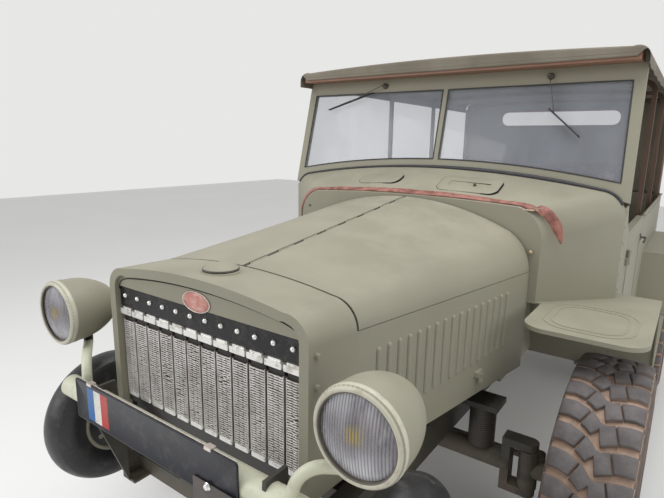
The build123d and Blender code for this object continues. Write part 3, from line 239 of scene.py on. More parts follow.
def canvas_cloth():
    """Waxed canvas: a plain weave, faded along the high places, with a sewn hem along its edges."""
    finish = Finish("canvas_cloth", roughness=0.85)
    x, y, z = finish.axes()
    edge = finish.attribute("edge")
    uneven = finish.noise(900, 2, 0.6)
    weave = (x.wave(0.0022) * y.wave(0.0022) + z.wave(0.0022) * 0.5) * uneven
    faded = finish.noise(4, 5, 0.6).above(0.5, 0.2)
    colour = finish.mix(faded, (0.165, 0.145, 0.11), (0.235, 0.21, 0.165))
    colour = finish.mix(weave * 0.05 + uneven.above(0.55, 0.1) * 0.16, colour, canvas_shade)
    stitch = edge.between(0.0135, 0.015, 0.0004)
    finish.colour(stitch * 0.7, colour, canvas_shade)
    folds = weave * 0.1 + uneven * 0.3 + finish.noise(12, 3) * 2
    return finish.bump(folds + edge.below(0.016, 0.0008) * 1.5 - stitch * 1.2, 0.001, 0.6)


def leather(name, dark, pale):
    """Creased leather with a fine pebble and rubbed high places."""
    finish = two_tone(name, dark, pale, 24, 5, 0.65, (0.5, 0.2), dullness=(0.45, 0.2), roughness=0.55)
    inputs = {"Vector": finish.place(), "Scale": 380}
    pebble = finish.add("ShaderNodeTexVoronoi", {"feature": "DISTANCE_TO_EDGE"}, inputs)
    return finish.bump(pebble + finish.noise(60, 4), 0.0007, 0.5)


def tank_metal():
    """Black tanks below the elements' feet, and pale rods in the gaps between the elements."""
    finish = Finish("tank_metal", roughness=0.4)
    tank = finish.mix(finish.noise(30, 4, 0.7), (0.016, 0.015, 0.015), (0.045, 0.04, 0.036))
    rods = finish.mix(finish.noise(90, 3), (0.62, 0.6, 0.56), (0.36, 0.33, 0.29))
    return finish.colour(finish.axes()[2].between(elements_low.z, element_top), tank, rods)


def leaf_steel():
    """Leaf springs: dark steel with a line at each leaf's edge and dust in between."""
    finish = Finish("leaf_steel", roughness=0.55, metallic=0.2)
    _, y, z = finish.axes()
    joint = (z + y * y * 0.12).wave(0.0085).above(0.86, 0.08)
    colour = finish.mix(finish.noise(24, 5, 0.7), (0.05, 0.046, 0.038), (0.105, 0.088, 0.068))
    finish.colour(joint * 0.85, colour, (0.012, 0.011, 0.01))
    return finish.bump(joint * -1 + finish.noise(120, 3) * 0.3, 0.002, 0.7)


def painted_wood():
    """Dark varnished ash hoops, reddish only on the header's lower edge."""
    finish = Finish("bow_wood", roughness=0.5)
    grain = finish.noise(26, 6, 0.7, (0.3, 1, 0.12))
    hoops = finish.mix(grain, (0.075, 0.045, 0.03), (0.165, 0.1, 0.066))
    header = finish.mix(grain, (0.21, 0.095, 0.06), (0.38, 0.21, 0.14))
    finish.colour(finish.axes()[1].below(shell_low.y + 1.5, 0.002), hoops, header)
    return finish.bump(grain, 0.0006, 0.5)


finishes = {
    "body_paint": body_paint(),
    "frame_paint": frame_paint(),
    "bumper_paint": bumper_paint(),
    "tyre_rubber": tyre_rubber(),
    "glass": clear_glass("pane_glass", (0.4, 0.43, 0.49), 0.04, 0.34),
    "lens_glass": clear_glass("lens_glass", (0.8, 0.82, 0.8), 0.08, 0.3),
    "canvas": canvas_cloth(),
    "seat_leather": leather("seat_leather", (0.1, 0.055, 0.03), (0.2, 0.12, 0.07)),
    "strap_leather": leather("strap_leather", (0.15, 0.05, 0.038), (0.41, 0.18, 0.14)),
    "tank_metal": tank_metal(),
    "leaf_steel": leaf_steel(),
    "bow_wood": painted_wood(),
    "black_paint": two_tone(
        "black_paint", black, (0.1, 0.09, 0.08), 30, 5, 0.7, (0.6, 0.12), 0.35, (0.24, 0.4),
        roughness=0.32, Specular_IOR_Level=0.25,
    ),
    "roller_rubber": two_tone(
        "roller_rubber", (0.022, 0.022, 0.024), (0.09, 0.085, 0.08), 22, 5, 0.7, (0.6, 0.1), 0.6, (0.36, 0.5),
        roughness=0.42,
    ),
    "red_glass": two_tone(
        "red_glass", (0.42, 0.012, 0.01), (0.26, 0.008, 0.008), 30, roughness=0.12, Coat_Weight=0.6
    ),
    "amber_bulb": two_tone(
        "amber_bulb", (0.85, 0.62, 0.1), (0.7, 0.45, 0.06), 70, roughness=0.12, Transmission_Weight=0.3
    ),
    "cream_rim": two_tone(
        "cream_rim", (0.52, 0.5, 0.4), (0.36, 0.33, 0.255), 40, 4, 0.65, (0.6, 0.1), 0.6, roughness=0.32
    ),
}
# Plain finishes: name, roughness, metallic, two tones, the noise's scale, detail and unevenness, and the patches' edge
for name, roughness, metallic, *tones_and_noise in (
    ("radiator_metal", 0.42, 0.55, (0.46, 0.42, 0.36), (0.21, 0.18, 0.145), 70, 5, 0.7, (0.55, 0.12)),
    ("wheel_black", 0.35, 0, (0.014, 0.014, 0.015), (0.045, 0.043, 0.04), 40, 4),
    ("hinge_paint", 0.5, 0, (0.05, 0.047, 0.037), (0.085, 0.08, 0.063), 30, 4),
    ("cap_metal", 0.3, 0.5, (0.8, 0.79, 0.76), (0.52, 0.5, 0.46), 60, 4, 0.5, (0.6, 0.1)),
    # The near-black cores are painted shade: the deep gaps between the fins and the strip under each cap
    ("core_black", 0.7, 0, (0.015, 0.014, 0.013), (0.05, 0.045, 0.04), 50, 4),
    ("bright_metal", 0.14, 0.9, (0.86, 0.86, 0.85), (0.55, 0.53, 0.49), 90, 4, 0.5, (0.62, 0.08)),
    ("badge_enamel", 0.25, 0, (0.52, 0.2, 0.17), (0.62, 0.36, 0.3), 55, 5, 0.7, (0.55, 0.12)),
    ("pale_rim", 0.3, 0.6, (0.8, 0.74, 0.68), (0.6, 0.52, 0.46), 120),
    ("ring_rubber", 0.6, 0, (0.1, 0.085, 0.075), (0.17, 0.145, 0.125), 60, 4),
    ("reflector_silver", 0.16, 1, (0.86, 0.85, 0.9), (0.56, 0.54, 0.58), 35, 5, 0.7, (0.55, 0.15)),
    ("bracket_steel", 0.5, 0.3, (0.05, 0.048, 0.052), (0.16, 0.13, 0.115), 25, 5, 0.7),
    ("worn_brass", 0.35, 0.85, (0.36, 0.29, 0.17), (0.58, 0.52, 0.38), 80, 4, 0.7),
    ("shadow_gap", 0.9, 0, (0.01, 0.009, 0.008), (0.03, 0.027, 0.024), 60),
    ("seal_rubber", 0.5, 0, (0.02, 0.02, 0.026), (0.06, 0.056, 0.062), 50, 4),
    ("nut_steel", 0.4, 0.4, (0.2, 0.185, 0.145), (0.33, 0.29, 0.23), 60, 4, 0.7),
    ("dial_face", 0.35, 0, (0.6, 0.58, 0.5), (0.5, 0.47, 0.4), 20),
    ("pale_floor", 0.6, 0, (0.84, 0.84, 0.83), (0.9, 0.9, 0.89), 0.6, 2),
):
    finishes[name] = two_tone(name, *tones_and_noise, roughness=roughness, metallic=metallic)
# Grain: the noise's scale, its height, its strength, and its detail where it isn't 3
for name, *grain in (
    ("roller_rubber", 120, 0.0004, 0.4),
    ("radiator_metal", 260, 0.0006, 0.6),
    ("wheel_black", 500, 0.0003, 0.4, 2),
    ("cap_metal", 180, 0.0004, 0.5),
    ("cream_rim", 160, 0.0003, 0.4),
):
    finishes[name].grain(*grain)
red_x, _, red_z = finishes["red_glass"].axes()
finishes["red_glass"].bump(red_x.wave(0.006) * red_z.wave(0.006), 0.0008, 0.5)

own_finishes = {"radiator_tanks": "tank_metal", "springs": "leaf_steel", "hood_hinge": "hinge_paint"}
for part in frame["record"]["subparts"]:
    finish = finishes[own_finishes.get(part["node"], part["material_slot"])]
    for material_slot in nodes[part["node"]].material_slots:
        material_slot.material = finish.material

# Camera: where the photo's camera stood, with its lean
eye = Vector((0.967, radiator_y - 0.772, 1.58))
azimuth, elevation, lean = radians(35.595), radians(11.915), radians(0.92)
photo_width, focal_pixels = 664, 500
forward = Vector((-sin(azimuth) * cos(elevation), cos(azimuth) * cos(elevation), -sin(elevation)))
level_right = forward.cross(Vector((0, 0, 1))).normalized()
level_down = forward.cross(level_right)
right = cos(lean) * level_right - sin(lean) * level_down
down = sin(lean) * level_right + cos(lean) * level_down
camera_data = bpy.data.cameras.new("photo_camera")
camera_data.sensor_width = 36
camera_data.lens = focal_pixels / photo_width * camera_data.sensor_width
camera_data.clip_start = 0.05
camera = bpy.data.objects.new("photo_camera", camera_data)
bpy.context.scene.collection.objects.link(camera)
camera.matrix_world = Matrix.Translation(eye) @ Matrix((right, -down, -forward)).transposed().to_4x4()
bpy.context.scene.camera = camera


def mm(*numbers):
    """Pairs such as (place along an axle, radius), given as a flat run in millimetres."""
    return np.reshape(numbers, (-1, 2)) / 1000


def clipped(share):
    return np.clip(share, 0, 1)


def middle_of(name):
    low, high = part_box(name)
    return (low + high) / 2


def joined(*parts):
    """Points from their coordinates; a part that is one number, or one row, serves for all."""
    return np.stack(np.broadcast_arrays(*parts), -1)


def round_angles(count):
    return np.linspace(0, 2 * pi, count, endpoint=False)


def stood_up(flat, y):
    """Points at depth y from pairs of (x, z)."""
    return joined(flat[:, 0], y, flat[:, 1])


def patch(points, close_rows=False, close_columns=False):
    """Faces over one or more grids of points, shaped (..., rows, columns, 3).

    Face i, j joins the points i, j / i, j+1 / i+1, j+1 / i+1, j, and a closed way round joins its ends."""
    points = np.asarray(points, float)
    rows, columns = points.shape[-3:-1]
    u = np.arange(rows if close_rows else rows - 1)[:, None]
    v = np.arange(columns if close_columns else columns - 1)[None, :]
    next_u, next_v = (u + 1) % rows, (v + 1) % columns
    corners = (u * columns + v, u * columns + next_v, next_u * columns + next_v, next_u * columns + v)
    faces = joined(*corners).reshape(-1, 4)
    copies = np.arange(points.size // (3 * rows * columns))[:, None, None] * rows * columns
    return points.reshape(-1, 3), (faces[None] + copies).reshape(-1, 4)


def add_piece(name, patches, finish, slot=None, body="body", replaces=(), smooth=True, closed=True, **values):
    """An object made of patches; values gives one number per point as a named attribute."""
    starts = np.cumsum([0] + [len(points) for points, faces in patches])
    points = np.concatenate([points for points, faces in patches])
    faces = np.concatenate([faces + start for (_, faces), start in zip(patches, starts)])
    mesh = bpy.data.meshes.new(name)
    mesh.from_pydata(points, [], faces.tolist())
    for attribute, numbers in values.items():
        layer = mesh.attributes.new(attribute, "FLOAT", "POINT")
        layer.data.foreach_set("value", np.concatenate([np.ravel(part) for part in numbers]).astype(np.float32))
    if closed:
        shape = bmesh.new()
        shape.from_mesh(mesh)
        bmesh.ops.remove_doubles(shape, verts=shape.verts, dist=1e-6)
        bmesh.ops.recalc_face_normals(shape, faces=shape.faces)
        shape.to_mesh(mesh)
        shape.free()
    mesh.polygons.foreach_set("use_smooth", np.full(len(mesh.polygons), smooth))
    mesh.update()
    piece = bpy.data.objects.new(name, mesh)
    bpy.context.scene.collection.objects.link(piece)
    piece.data.materials.append(finishes[finish].material)
    if slot:
        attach(piece, body)
        if replaces:
            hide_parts(*replaces)
    return piece


def through(points, steps):
    """A Catmull-Rom curve through the points, in steps from each to the next; its ends run straight on.

    Between b and c, with a before and d after, it is (2b + (c-a)t + (2a-5b+4c-d)t^2 + (3b-a-3c+d)t^3) / 2."""
    points = np.asarray(points, float)
    padded = np.concatenate([2 * points[:1] - points[1:2], points, 2 * points[-1:] - points[-2:-1]])
    t = np.linspace(0, 1, steps, endpoint=False)[None, :, None]
    a, b, c, d = (padded[i : len(padded) - 3 + i][:, None, :] for i in range(4))
    curve = (2 * b + (c - a) * t + (2 * a - 5 * b + 4 * c - d) * t**2 + (3 * b - a - 3 * c + d) * t**3) / 2
    return np.concatenate([curve.reshape(-1, points.shape[1]), points[-1:]])


def lathe(profile, origin, along=(0, 1, 0), turns=64):
    """A profile of (place along the axle, radius) turned about an axle that starts at origin.

    A point is origin + place * axle + radius * (cos(angle) * first + sin(angle) * second)."""
    axle = Vector(along).normalized()
    first = axle.orthogonal().normalized()
    second = axle.cross(first)
    angle = round_angles(turns)[:, None, None]
    ring = np.cos(angle) * np.array(first) + np.sin(angle) * np.array(second)
    points = np.array(origin) + profile[None, :, :1] * np.array(axle) + profile[None, :, 1:] * ring
    return patch(points, close_rows=True)


def lathe_ring(profile, middle, axle, radius, count, turns, first, second):
    """The same lathed piece count times: its starts are middle + radius (cos(angle) first + sin(angle) second)."""
    angle = round_angles(count)[:, None]
    starts = np.array(middle) + radius * (np.cos(angle) * np.array(first) + np.sin(angle) * np.array(second))
    return [lathe(profile, start, axle, turns) for start in starts]


def block(low, high):
    """A box between two corners: a ring of four corners at its front and back, both shut at their middle."""
    low, high = np.array(low, float), np.array(high, float)
    square = np.array([[-0.5, -0.5], [0.5, -0.5], [0.5, 0.5], [-0.5, 0.5]])
    ends = ((0, 0), (0, 1), (1, 1), (1, 0))
    shares = [np.c_[0.5 + spread * square[:, 0], np.full(4, y), 0.5 + spread * square[:, 1]] for y, spread in ends]
    return patch(low + (high - low) * np.array(shares), close_columns=True)


def slab(x, half, y, z):
    """A box half as wide to each side of x, between two places in y and two in z."""
    return block((x - half, y[0], z[0]), (x + half, y[1], z[1]))


def soften(piece, width):
    """Rounds the sharp edges of a piece."""
    bevel = piece.modifiers.new("rounded_edges", "BEVEL")
    bevel.width = width
    bevel.segments = 2
    bevel.limit_method = "ANGLE"
    bevel.angle_limit = radians(35)
    bevel.harden_normals = True
    return piece


# Tyres: a carcass whose bare tread is the floor of the grooves, and bent rows of blocks on it
tyre_low, tyre_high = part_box("tyre_front_left")
tyre_radius = (tyre_high.z - tyre_low.z) / 2
groove_depth, tread_half, pitch_count = 0.0145, 0.1, 36
inner_sweep, outer_sweep, bend_place = radians(8.3), radians(3.2), 0.1
# Each row is a block's two ends across the tread, how far each leans, and its share of the pitch
tread_blocks = (
    (-1.04, -0.38, 0, 0.1, 0.68),
    (-0.32, -0.01, 0.1, 0.14, 0.8),
    (0.07, 0.46, -0.075, -0.07, 0.76),
    (0.51, 1.04, -0.07, 0, 0.7),
)
# Outer half of the carcass from the middle of the tread to the bead: place along the axle, and radius
carcass_half = mm(
    0, 440.5, 60, 439.5, 90, 436, 103, 429, 108.2, 417, 110, 408, 112.6, 406, 113, 400, 112.4, 396, 115.2, 375,
    116.3, 345, 115, 312, 113.2, 298, 112.2, 294.5, 110.8, 293, 106.8, 274, 101, 259, 97.2, 250, 94, 247,
)
# Raised rings on the sidewalls: radius, width and height
wall_ridges = ((0.304, 0.0065, 0.0014), (0.319, 0.004, 0.0011), (0.34, 0.003, 0.0008), (0.388, 0.0075, 0.0016))


def groove_line(v):
    """Turn of a groove at place v across the tread, from -1 inside to 1 outside.

    It is minus the inner sweep times ((v + 1) / (1 + b))^2.6 up to the bend at b, and from there
    it comes back by the outer sweep times 1 - ((1 - v) / (1 - b))^2."""
    inside = -inner_sweep * clipped((v + 1) / (1 + bend_place)) ** 2.6
    outside = -inner_sweep + outer_sweep * (1 - clipped((1 - v) / (1 - bend_place)) ** 2)
    return np.where(v < bend_place, inside, outside)


def crown(v):
    """Radius of the worn tread at place v: 2.5 mm lower at the edges, and round past 0.85."""
    return tyre_radius - 0.0025 * v**2 - 0.008 * (clipped(np.abs(v) - 0.85) / 0.2) ** 2


def tyre_patches(origin, axle, front, up):
    """Carcass and blocks of one tyre. A point is origin + x axle + r (cos(turn) front + sin(turn) up)."""
    origin, axle, front, up = (np.array(vector, float) for vector in (origin, axle, front, up))

    def placed(x, r, turn):
        ring = np.cos(turn)[..., None] * front + np.sin(turn)[..., None] * up
        return origin + x[..., None] * axle + r[..., None] * ring

    half = through(carcass_half, 3)
    profile = np.concatenate([half[::-1] * (-1, 1), half[1:]])
    round_turn = round_angles(144)[:, None]
    carcass = placed(profile[None, :, 0], profile[None, :, 1], round_turn)
    bare = clipped((np.abs(profile[:, 0]) - tread_half) / 0.006) * 0.5
    patches = [patch(carcass, close_rows=True)]
    raised = [np.broadcast_to(bare, carcass.shape[:2])]
    for radius, width, height in wall_ridges:
        r = radius + np.array([0.5, 0.3, -0.3, -0.5]) * width
        x = np.interp(r, half[::-1, 1], half[::-1, 0]) + np.array([-0.001, height, height, -0.001])
        for line in (joined(x, r), joined(-x, r)[::-1]):
            ridge = placed(line[None, :, 0], line[None, :, 1], round_turn)
            patches.append(patch(ridge, close_rows=True, close_columns=True))
            raised.append(np.full(ridge.shape[:2], 0.38))
    share = np.array([-0.06, 0, 0.07, 0.5, 0.93, 1, 1.06])
    lift = np.array([-0.15, 0.88, 1, 1, 1, 0.88, -0.15])
    height = np.minimum(lift[:, None], lift[None, :])
    pitch = 2 * pi / pitch_count
    starts = np.arange(pitch_count)[:, None, None] * pitch
    for v_start, v_end, start_lean, end_lean, thickness in tread_blocks:
        around = share[None, :] - 0.5
        v = v_start + (v_end - v_start) * share[:, None]
        v = v + around * (start_lean + (end_lean - start_lean) * share[:, None]) * 2
        turn = starts + groove_line(v) + around * thickness * pitch
        radius = crown(v) - groove_depth * (1 - height)
        patches.append(patch(placed(v * tread_half, radius, turn)))
        raised.append(np.broadcast_to(clipped(height), turn.shape))
    return patches, raised


wheel_places = ("front_left", "front_right", "rear_left", "rear_right")
for place in (*wheel_places, "spare"):
    spare = place == "spare"
    tyre, body = ("spare_tyre", "body") if spare else ("tyre_" + place, "wheel_" + place)
    middle = middle_of(tyre)
    ways = ((0, 1, 0), (1, 0, 0), (0, 0, 1)) if spare else ((1 if middle.x > 0 else -1, 0, 0), (0, -1, 0), (0, 0, 1))
    patches, raised = tyre_patches(middle, *ways)
    add_piece("tread_" + place, patches, "tyre_rubber", "tyre_rubber", body, (tyre,), raised=raised)

# Radiator: twelve elements of thin uneven fins between side plates, with a cap and a foot each
element_count, element_pitch, element_width = 12, 0.057, 0.049
cap_height, cap_gap, foot_height = 0.016, 0.019, 0.014
fin_pitch, fin_depth, fin_edge = 0.0062, 0.008, 0.004
fin_front = elements_low.y + 0.0035
element_x = (np.arange(element_count) - (element_count - 1) / 2) * element_pitch
fin_z = np.arange(elements_low.z + foot_height + 0.003, element_top - cap_height - cap_gap, fin_pitch)


def fin_points():
    """Fins of all the elements as three-sided strips: front edge above, front edge below, and root.

    The edge wanders up and down and in and out by a smooth random amount, and is pressed in at
    two lines that divide an element into three columns."""
    rng = np.random.default_rng(7)
    across = np.linspace(-0.5, 0.5, 19)
    shape = (element_count, len(fin_z), len(across))
    blur = np.array([0.25, 0.5, 0.25])
    wander = rng.normal(size=(2, *shape))
    for _ in range(2):
        wander = np.apply_along_axis(np.convolve, -1, wander, blur, "same")
    patchy = rng.normal(size=(element_count, 9))
    dents = np.array([np.interp(np.linspace(0, 8, len(fin_z)), np.arange(9), row) for row in patchy])
    rough = 0.5 + 0.5 * np.clip(dents, 0, 2)[..., None]
    column = np.exp(-(((np.abs(across) - 0.17) / 0.03) ** 2))
    x = element_x[:, None, None] + across * (element_width - 0.002)
    y = fin_front + 0.0018 * column + 0.0011 * rough * wander[0]
    z = fin_z[None, :, None] + 0.0011 * rough * wander[1]
    edge_above = joined(x, y, z + fin_edge / 2)
    edge_below = joined(x, y + 0.0006, z - fin_edge / 2)
    root = joined(x, fin_front + fin_depth, z)
    return np.stack([edge_above, edge_below, root], -2)


fin_metal = Finish("fin_metal", roughness=0.45, metallic=0.12)
tarnish = fin_metal.noise(34, 5, 0.7, (1, 1, 0.5)).above(0.52, 0.16)
fin_colour = fin_metal.mix(tarnish, (0.88, 0.85, 0.83), (0.62, 0.57, 0.54))
# Painted shade: the fins and side plates darken towards their roots, where the gaps between the fins lie in shade
painted_root_shade = fin_metal.axes()[1].above(fin_front + 0.0026, 0.0024)
finishes["fin_metal"] = fin_metal.colour(painted_root_shade, fin_colour, (0.15, 0.13, 0.12))

fins_patch = patch(fin_points(), close_columns=True)
replaced = ("radiator_elements",)
add_piece("radiator_fins", [fins_patch], "fin_metal", "radiator_metal", "body", replaced, smooth=False, closed=False)
cores, plates, caps, feet = [], [], [], []
fins_low, fins_high = elements_low.z + foot_height - 0.001, element_top - cap_height
front, back = elements_low.y, elements_high.y
half, plate_half = element_width / 2, 0.0006
for x in element_x:
    cores.append(slab(x, half - 0.001, (fin_front + 0.0055, back - 0.002), (fins_low, fins_high + 0.001)))
    for edge in (x - half + plate_half, x + half - plate_half):
        plates.append(slab(edge, plate_half, (fin_front - 0.0004, back - 0.002), (fins_low, fins_high - cap_gap)))
    caps.append(slab(x, 0.0262, (front - 0.006, back), (fins_high, element_top)))
    caps.append(slab(x, 0.02, (front - 0.001, back - 0.01), (element_top - 0.001, element_top + 0.005)))
    feet.append(slab(x, 0.0245, (fin_front - 0.002, back - 0.003), (elements_low.z, elements_low.z + foot_height)))
# Near-black cores, painted shade seen between the fins and in the gap under each cap
add_piece("radiator_cores", cores, "core_black", "radiator_metal", smooth=False)
add_piece("radiator_side_plates", plates, "fin_metal", "radiator_metal", smooth=False)
soften(add_piece("radiator_caps", caps, "cap_metal", "radiator_metal"), 0.0022)
soften(add_piece("radiator_feet", feet, "cap_metal", "radiator_metal"), 0.004)

# Dome bolts on the clamp band
dome_radius, bolt_height = 0.0078, 1.1445
dome = [(0.0005, 0)] + [(-dome_radius * sin(turn), dome_radius * cos(turn)) for turn in np.linspace(0, pi / 2, 8)]
bolts = [lathe(np.array(dome), (x, radiator_y + 0.004, bolt_height), turns=20) for x in element_x]
add_piece("band_bolts", bolts, "bright_metal", "radiator_metal")


def oval(profile, middle, half):
    """A profile of (share of the oval's half width, place towards the back) carried round an oval.

    A point is middle + share * (width cos(angle), 0, height sin(angle)) + (0, place, 0)."""
    angle = round_angles(72)[:, None]
    share, place = profile[None, :, 0], profile[None, :, 1]
    points = joined(half[0] * share * np.cos(angle), place, half[1] * share * np.sin(angle))
    return patch(points + np.array(middle), close_rows=True)


# Bare oval badge on the face above the radiator, domed, with a pale rim
badge_middle, badge_half = (0.001, radiator_y + 0.001, 1.188), (0.052, 0.027)
badge_plate = mm(0, 0, 955, 0, 955, -2.2, 600, -3.5, 300, -4.2, 0, -4.4)
badge_rim = mm(930, 0, 1000, 0, 1000, -2.6, 985, -3.4, 950, -3.4, 930, -2.6, 930, 0)
add_piece("badge_plate", [oval(badge_plate, badge_middle, badge_half)], "badge_enamel", "body_paint")
add_piece("badge_rim", [oval(badge_rim, badge_middle, badge_half)], "pale_rim", "body_paint")

# Headlamps: a thick rim, a dark inner ring, a fluted lens, and a reflector and bulb behind it
lens_low, lens_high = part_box("lamp_lenses")
glass_radius = 0.084
lamp_x = lens_high.x - (lens_high.z - lens_low.z) / 2
lamp_y = lens_low.y + 0.028
lamp_z = (lens_high.z + lens_low.z) / 2
flute_pitch, flute_depth = 0.0066, 0.0009
rim_profile = mm(
    -4, 96.5, -4, 98.5, -8, 99.5, -14, 99, -19, 97.2, -23, 94, -25, 90.5, -24.5, 88,
    -22.8, 86.2, -15, 86, -10, 90.5, -4, 96.5,
)
ring_profile = mm(-14, 86.6, -22.6, 86.6, -23.3, 85.8, -22.6, 84.2, -19.5, 83.2, -14, 86.6)
bowl = mm(-6, 82.5, 8, 81.5, 26, 75.5, 44, 66, 60, 52, 71, 35, 78, 12)
bowl_profile = np.concatenate([bowl, bowl[::-1] + (0.0015, 0), bowl[:1]])
bulb_profile = mm(78, 0, 78, 11, 60, 11, 58, 8, 50, 9.5, 38, 10.5, 28, 7.5, 24, 0)


def fluted_lens(origin):
    """Domed lens: its front stands 14 + 13 (1 - (r / R)^2) mm forward, with upright flutes as sine waves across x."""
    angle = round_angles(180)[:, None]
    edge = glass_radius - 0.001
    r = np.concatenate([[0, edge, edge + 0.0005], np.linspace(edge, 0, 30)])
    x, z = r * np.cos(angle), r * np.sin(angle)
    share = clipped(1 - (r / glass_radius) ** 2)
    flutes = flute_depth * np.sin(2 * pi * x / flute_pitch) * clipped(share * 6)
    y = np.where(np.arange(len(r)) > 1, -0.014 - 0.013 * share + flutes, -0.008)
    return patch(joined(x, y, z) + np.array(origin), close_rows=True)


def lens_finish():
    """Fluted glass with painted light: grey, with light and dark stripes along the flutes, pale bands of painted
    reflection above and below, broken into streaks, and a painted yellow glint of the bulb in front of it.
    """
    finish = Finish("lamp_glass", roughness=0.08, Alpha=0.6)
    x, _, z = finish.axes()
    flute_line = x.wave(flute_pitch).above(0.35, 0.5)
    # Painted reflection: pale bands above and below the bulb
    reflection_bands = z.above(lamp_z + 0.03, 0.05) * 0.85 + z.below(lamp_z - 0.022, 0.05) * 0.9
    streaks = finish.noise(26, 3, 0.6, (1, 1, 0.25)).above(0.42, 0.25)
    colour = finish.mix(flute_line * 0.4, (0.13, 0.115, 0.125), (0.24, 0.22, 0.25))
    colour = finish.mix(reflection_bands * streaks * (0.35 + 0.65 * flute_line), colour, (0.88, 0.88, 0.92))
    # Painted glint: the bulb's yellow laid on the glass in front of it
    bulb_light = x.maths("ABSOLUTE").between(lamp_x - 0.018, lamp_x + 0.012, 0.012)
    bulb_light *= z.between(lamp_z - 0.012, lamp_z + 0.02, 0.012)
    return finish.colour(bulb_light * flute_line * 0.8, colour, (0.62, 0.47, 0.05))


finishes["lamp_glass"] = lens_finish()
lamp_places = [(side * lamp_x, lamp_y, lamp_z) for side in (1, -1)]
for name, profile, turns, finish, slot in (
    ("lamp_rims", rim_profile, 96, "cream_rim", "bumper_paint"),
    ("lamp_rings", ring_profile, 96, "ring_rubber", "black_paint"),
    ("lamp_reflectors", bowl_profile, 72, "reflector_silver", "radiator_metal"),
    ("lamp_bulbs", bulb_profile, 32, "amber_bulb", "lens_glass"),
):
    add_piece(name, [lathe(profile, origin, turns=turns) for origin in lamp_places], finish, slot)
lenses = [fluted_lens(origin) for origin in lamp_places]
add_piece("lamp_fluted_lenses", lenses, "lamp_glass", "lens_glass", replaces=("lamp_lenses",))

# Number plate: a thin black plate with rolled edges, three painted stripes and two clips
plate_low, plate_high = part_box("number_plate")


def plate_paint():
    """Black paint with three stripes side by side, rubbed thin in places."""
    finish = Finish("plate_paint", roughness=0.34, Specular_IOR_Level=0.25)
    x, _, z = finish.axes()
    dusty = finish.noise(30, 5, 0.7).above(0.6, 0.12) * 0.4
    colour = finish.mix(dusty, (0.022, 0.023, 0.03), (0.1, 0.095, 0.09))
    kept = z.between(plate_low.z + 0.012, plate_high.z - 0.012)
    kept *= 1 - finish.noise(140, 4, 0.7).above(0.62, 0.05) * 0.6
    edges = (-0.326, -0.292, -0.259, -0.225)
    for start, end, stripe in zip(edges, edges[1:], ((0.03, 0.135, 0.36), (0.7, 0.68, 0.64), (0.46, 0.05, 0.042))):
        colour = finish.mix(x.between(start, end) * kept, colour, stripe)
    finish.paint("Base Color", colour)
    return finish.bump(finish.noise(8, 3) * 2 + finish.noise(200, 3) * 0.3, 0.001, 0.4)


finishes["plate_paint"] = plate_paint()


def corner_ring(half, corner, steps):
    """A rectangle's outline with quarter circles at its corners, as points about its middle."""
    quarter = np.linspace(0, pi / 2, steps)
    centres = np.repeat([(1, 1), (-1, 1), (-1, -1), (1, -1)], steps, axis=0)
    angle = np.concatenate([quarter + k * pi / 2 for k in range(4)])
    return centres * half + corner * joined(np.cos(angle), np.sin(angle))


def plate_grid(low, high, corner, profile, steps=8):
    """A rounded rectangle facing the front, as rings of points, between its lower and upper (x, z) corners.

    Each row of the profile is an inset of the outline and a place towards the back."""
    low, high = np.array(low), np.array(high)
    size = (high - low) / 2
    rings = []
    for inset, place in profile:
        radius = max(corner - inset, 0)
        rings.append(stood_up(corner_ring(np.maximum(size - inset - radius, 0), radius, steps), place))
    return patch(np.array(rings) + stood_up((low + high)[None] / 2, 0), close_columns=True)


plate_front, plate_back, plate_top = plate_low.y - 0.0006, plate_high.y, plate_high.z
plate_rings = [
    (0.06, plate_back), (0.003, plate_back), (0, plate_back - 0.001), (0, plate_front),
    (0.0015, plate_front - 0.001), (0.004, plate_front - 0.001), (0.0055, plate_front), (0.06, plate_front),
]
sheet = plate_grid((plate_low.x, plate_low.z), (plate_high.x, plate_high.z), 0.008, plate_rings)
add_piece("plate_sheet", [sheet], "plate_paint", "black_paint", replaces=("number_plate",))
clip_y, clip_z = (plate_front - 0.0026, plate_back + 0.01), (plate_top - 0.005, plate_top + 0.0032)
clips = [slab(x, 0.011, clip_y, clip_z) for x in (-0.31, 0.178)]
edge_low = (plate_low.x + 0.006, plate_back - 0.0003, plate_top - 0.001)
clips.append(block(edge_low, (plate_high.x - 0.006, plate_back + 0.0022, plate_top + 0.0012)))
soften(add_piece("plate_clips", clips, "pale_rim", "bumper_paint"), 0.0008)
bracket = [
    slab(0.198, 0.07, (plate_front - 0.0065, plate_front - 0.0015), (0.752, 0.836)),
    slab(0.28, 0.012, (plate_front - 0.006, plate_front + 0.02), (0.782, 0.822)),
]
soften(add_piece("plate_bracket", bracket, "bracket_steel", "frame_paint"), 0.0025)
washer = mm(0, 0, 0, 10.5, -1.8, 10.5, -2.2, 7.2, -6.2, 7.2, -7.2, 5.8, -7.4, 0)
plate_bolt = lathe(washer, (0.18, plate_front - 0.0064, 0.83), turns=24)
add_piece("plate_bolt", [plate_bolt], "bright_metal", "radiator_metal")

# Leather strap over the cowl's lip, with a buckle and a free end that curls away from the cowl
strap_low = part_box("leather_strap")[0]
lip_y = strap_low.y - 0.006
screen_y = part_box("cowl")[1].y
# Each section is half width, top, shoulder x and z, and top of the upright side, in metres
lip_arch = np.array([0.55, 1.378, 0.457, 1.363, 1.246])
screen_arch = np.array([0.78, 1.483, 0.7, 1.422, 1.33])


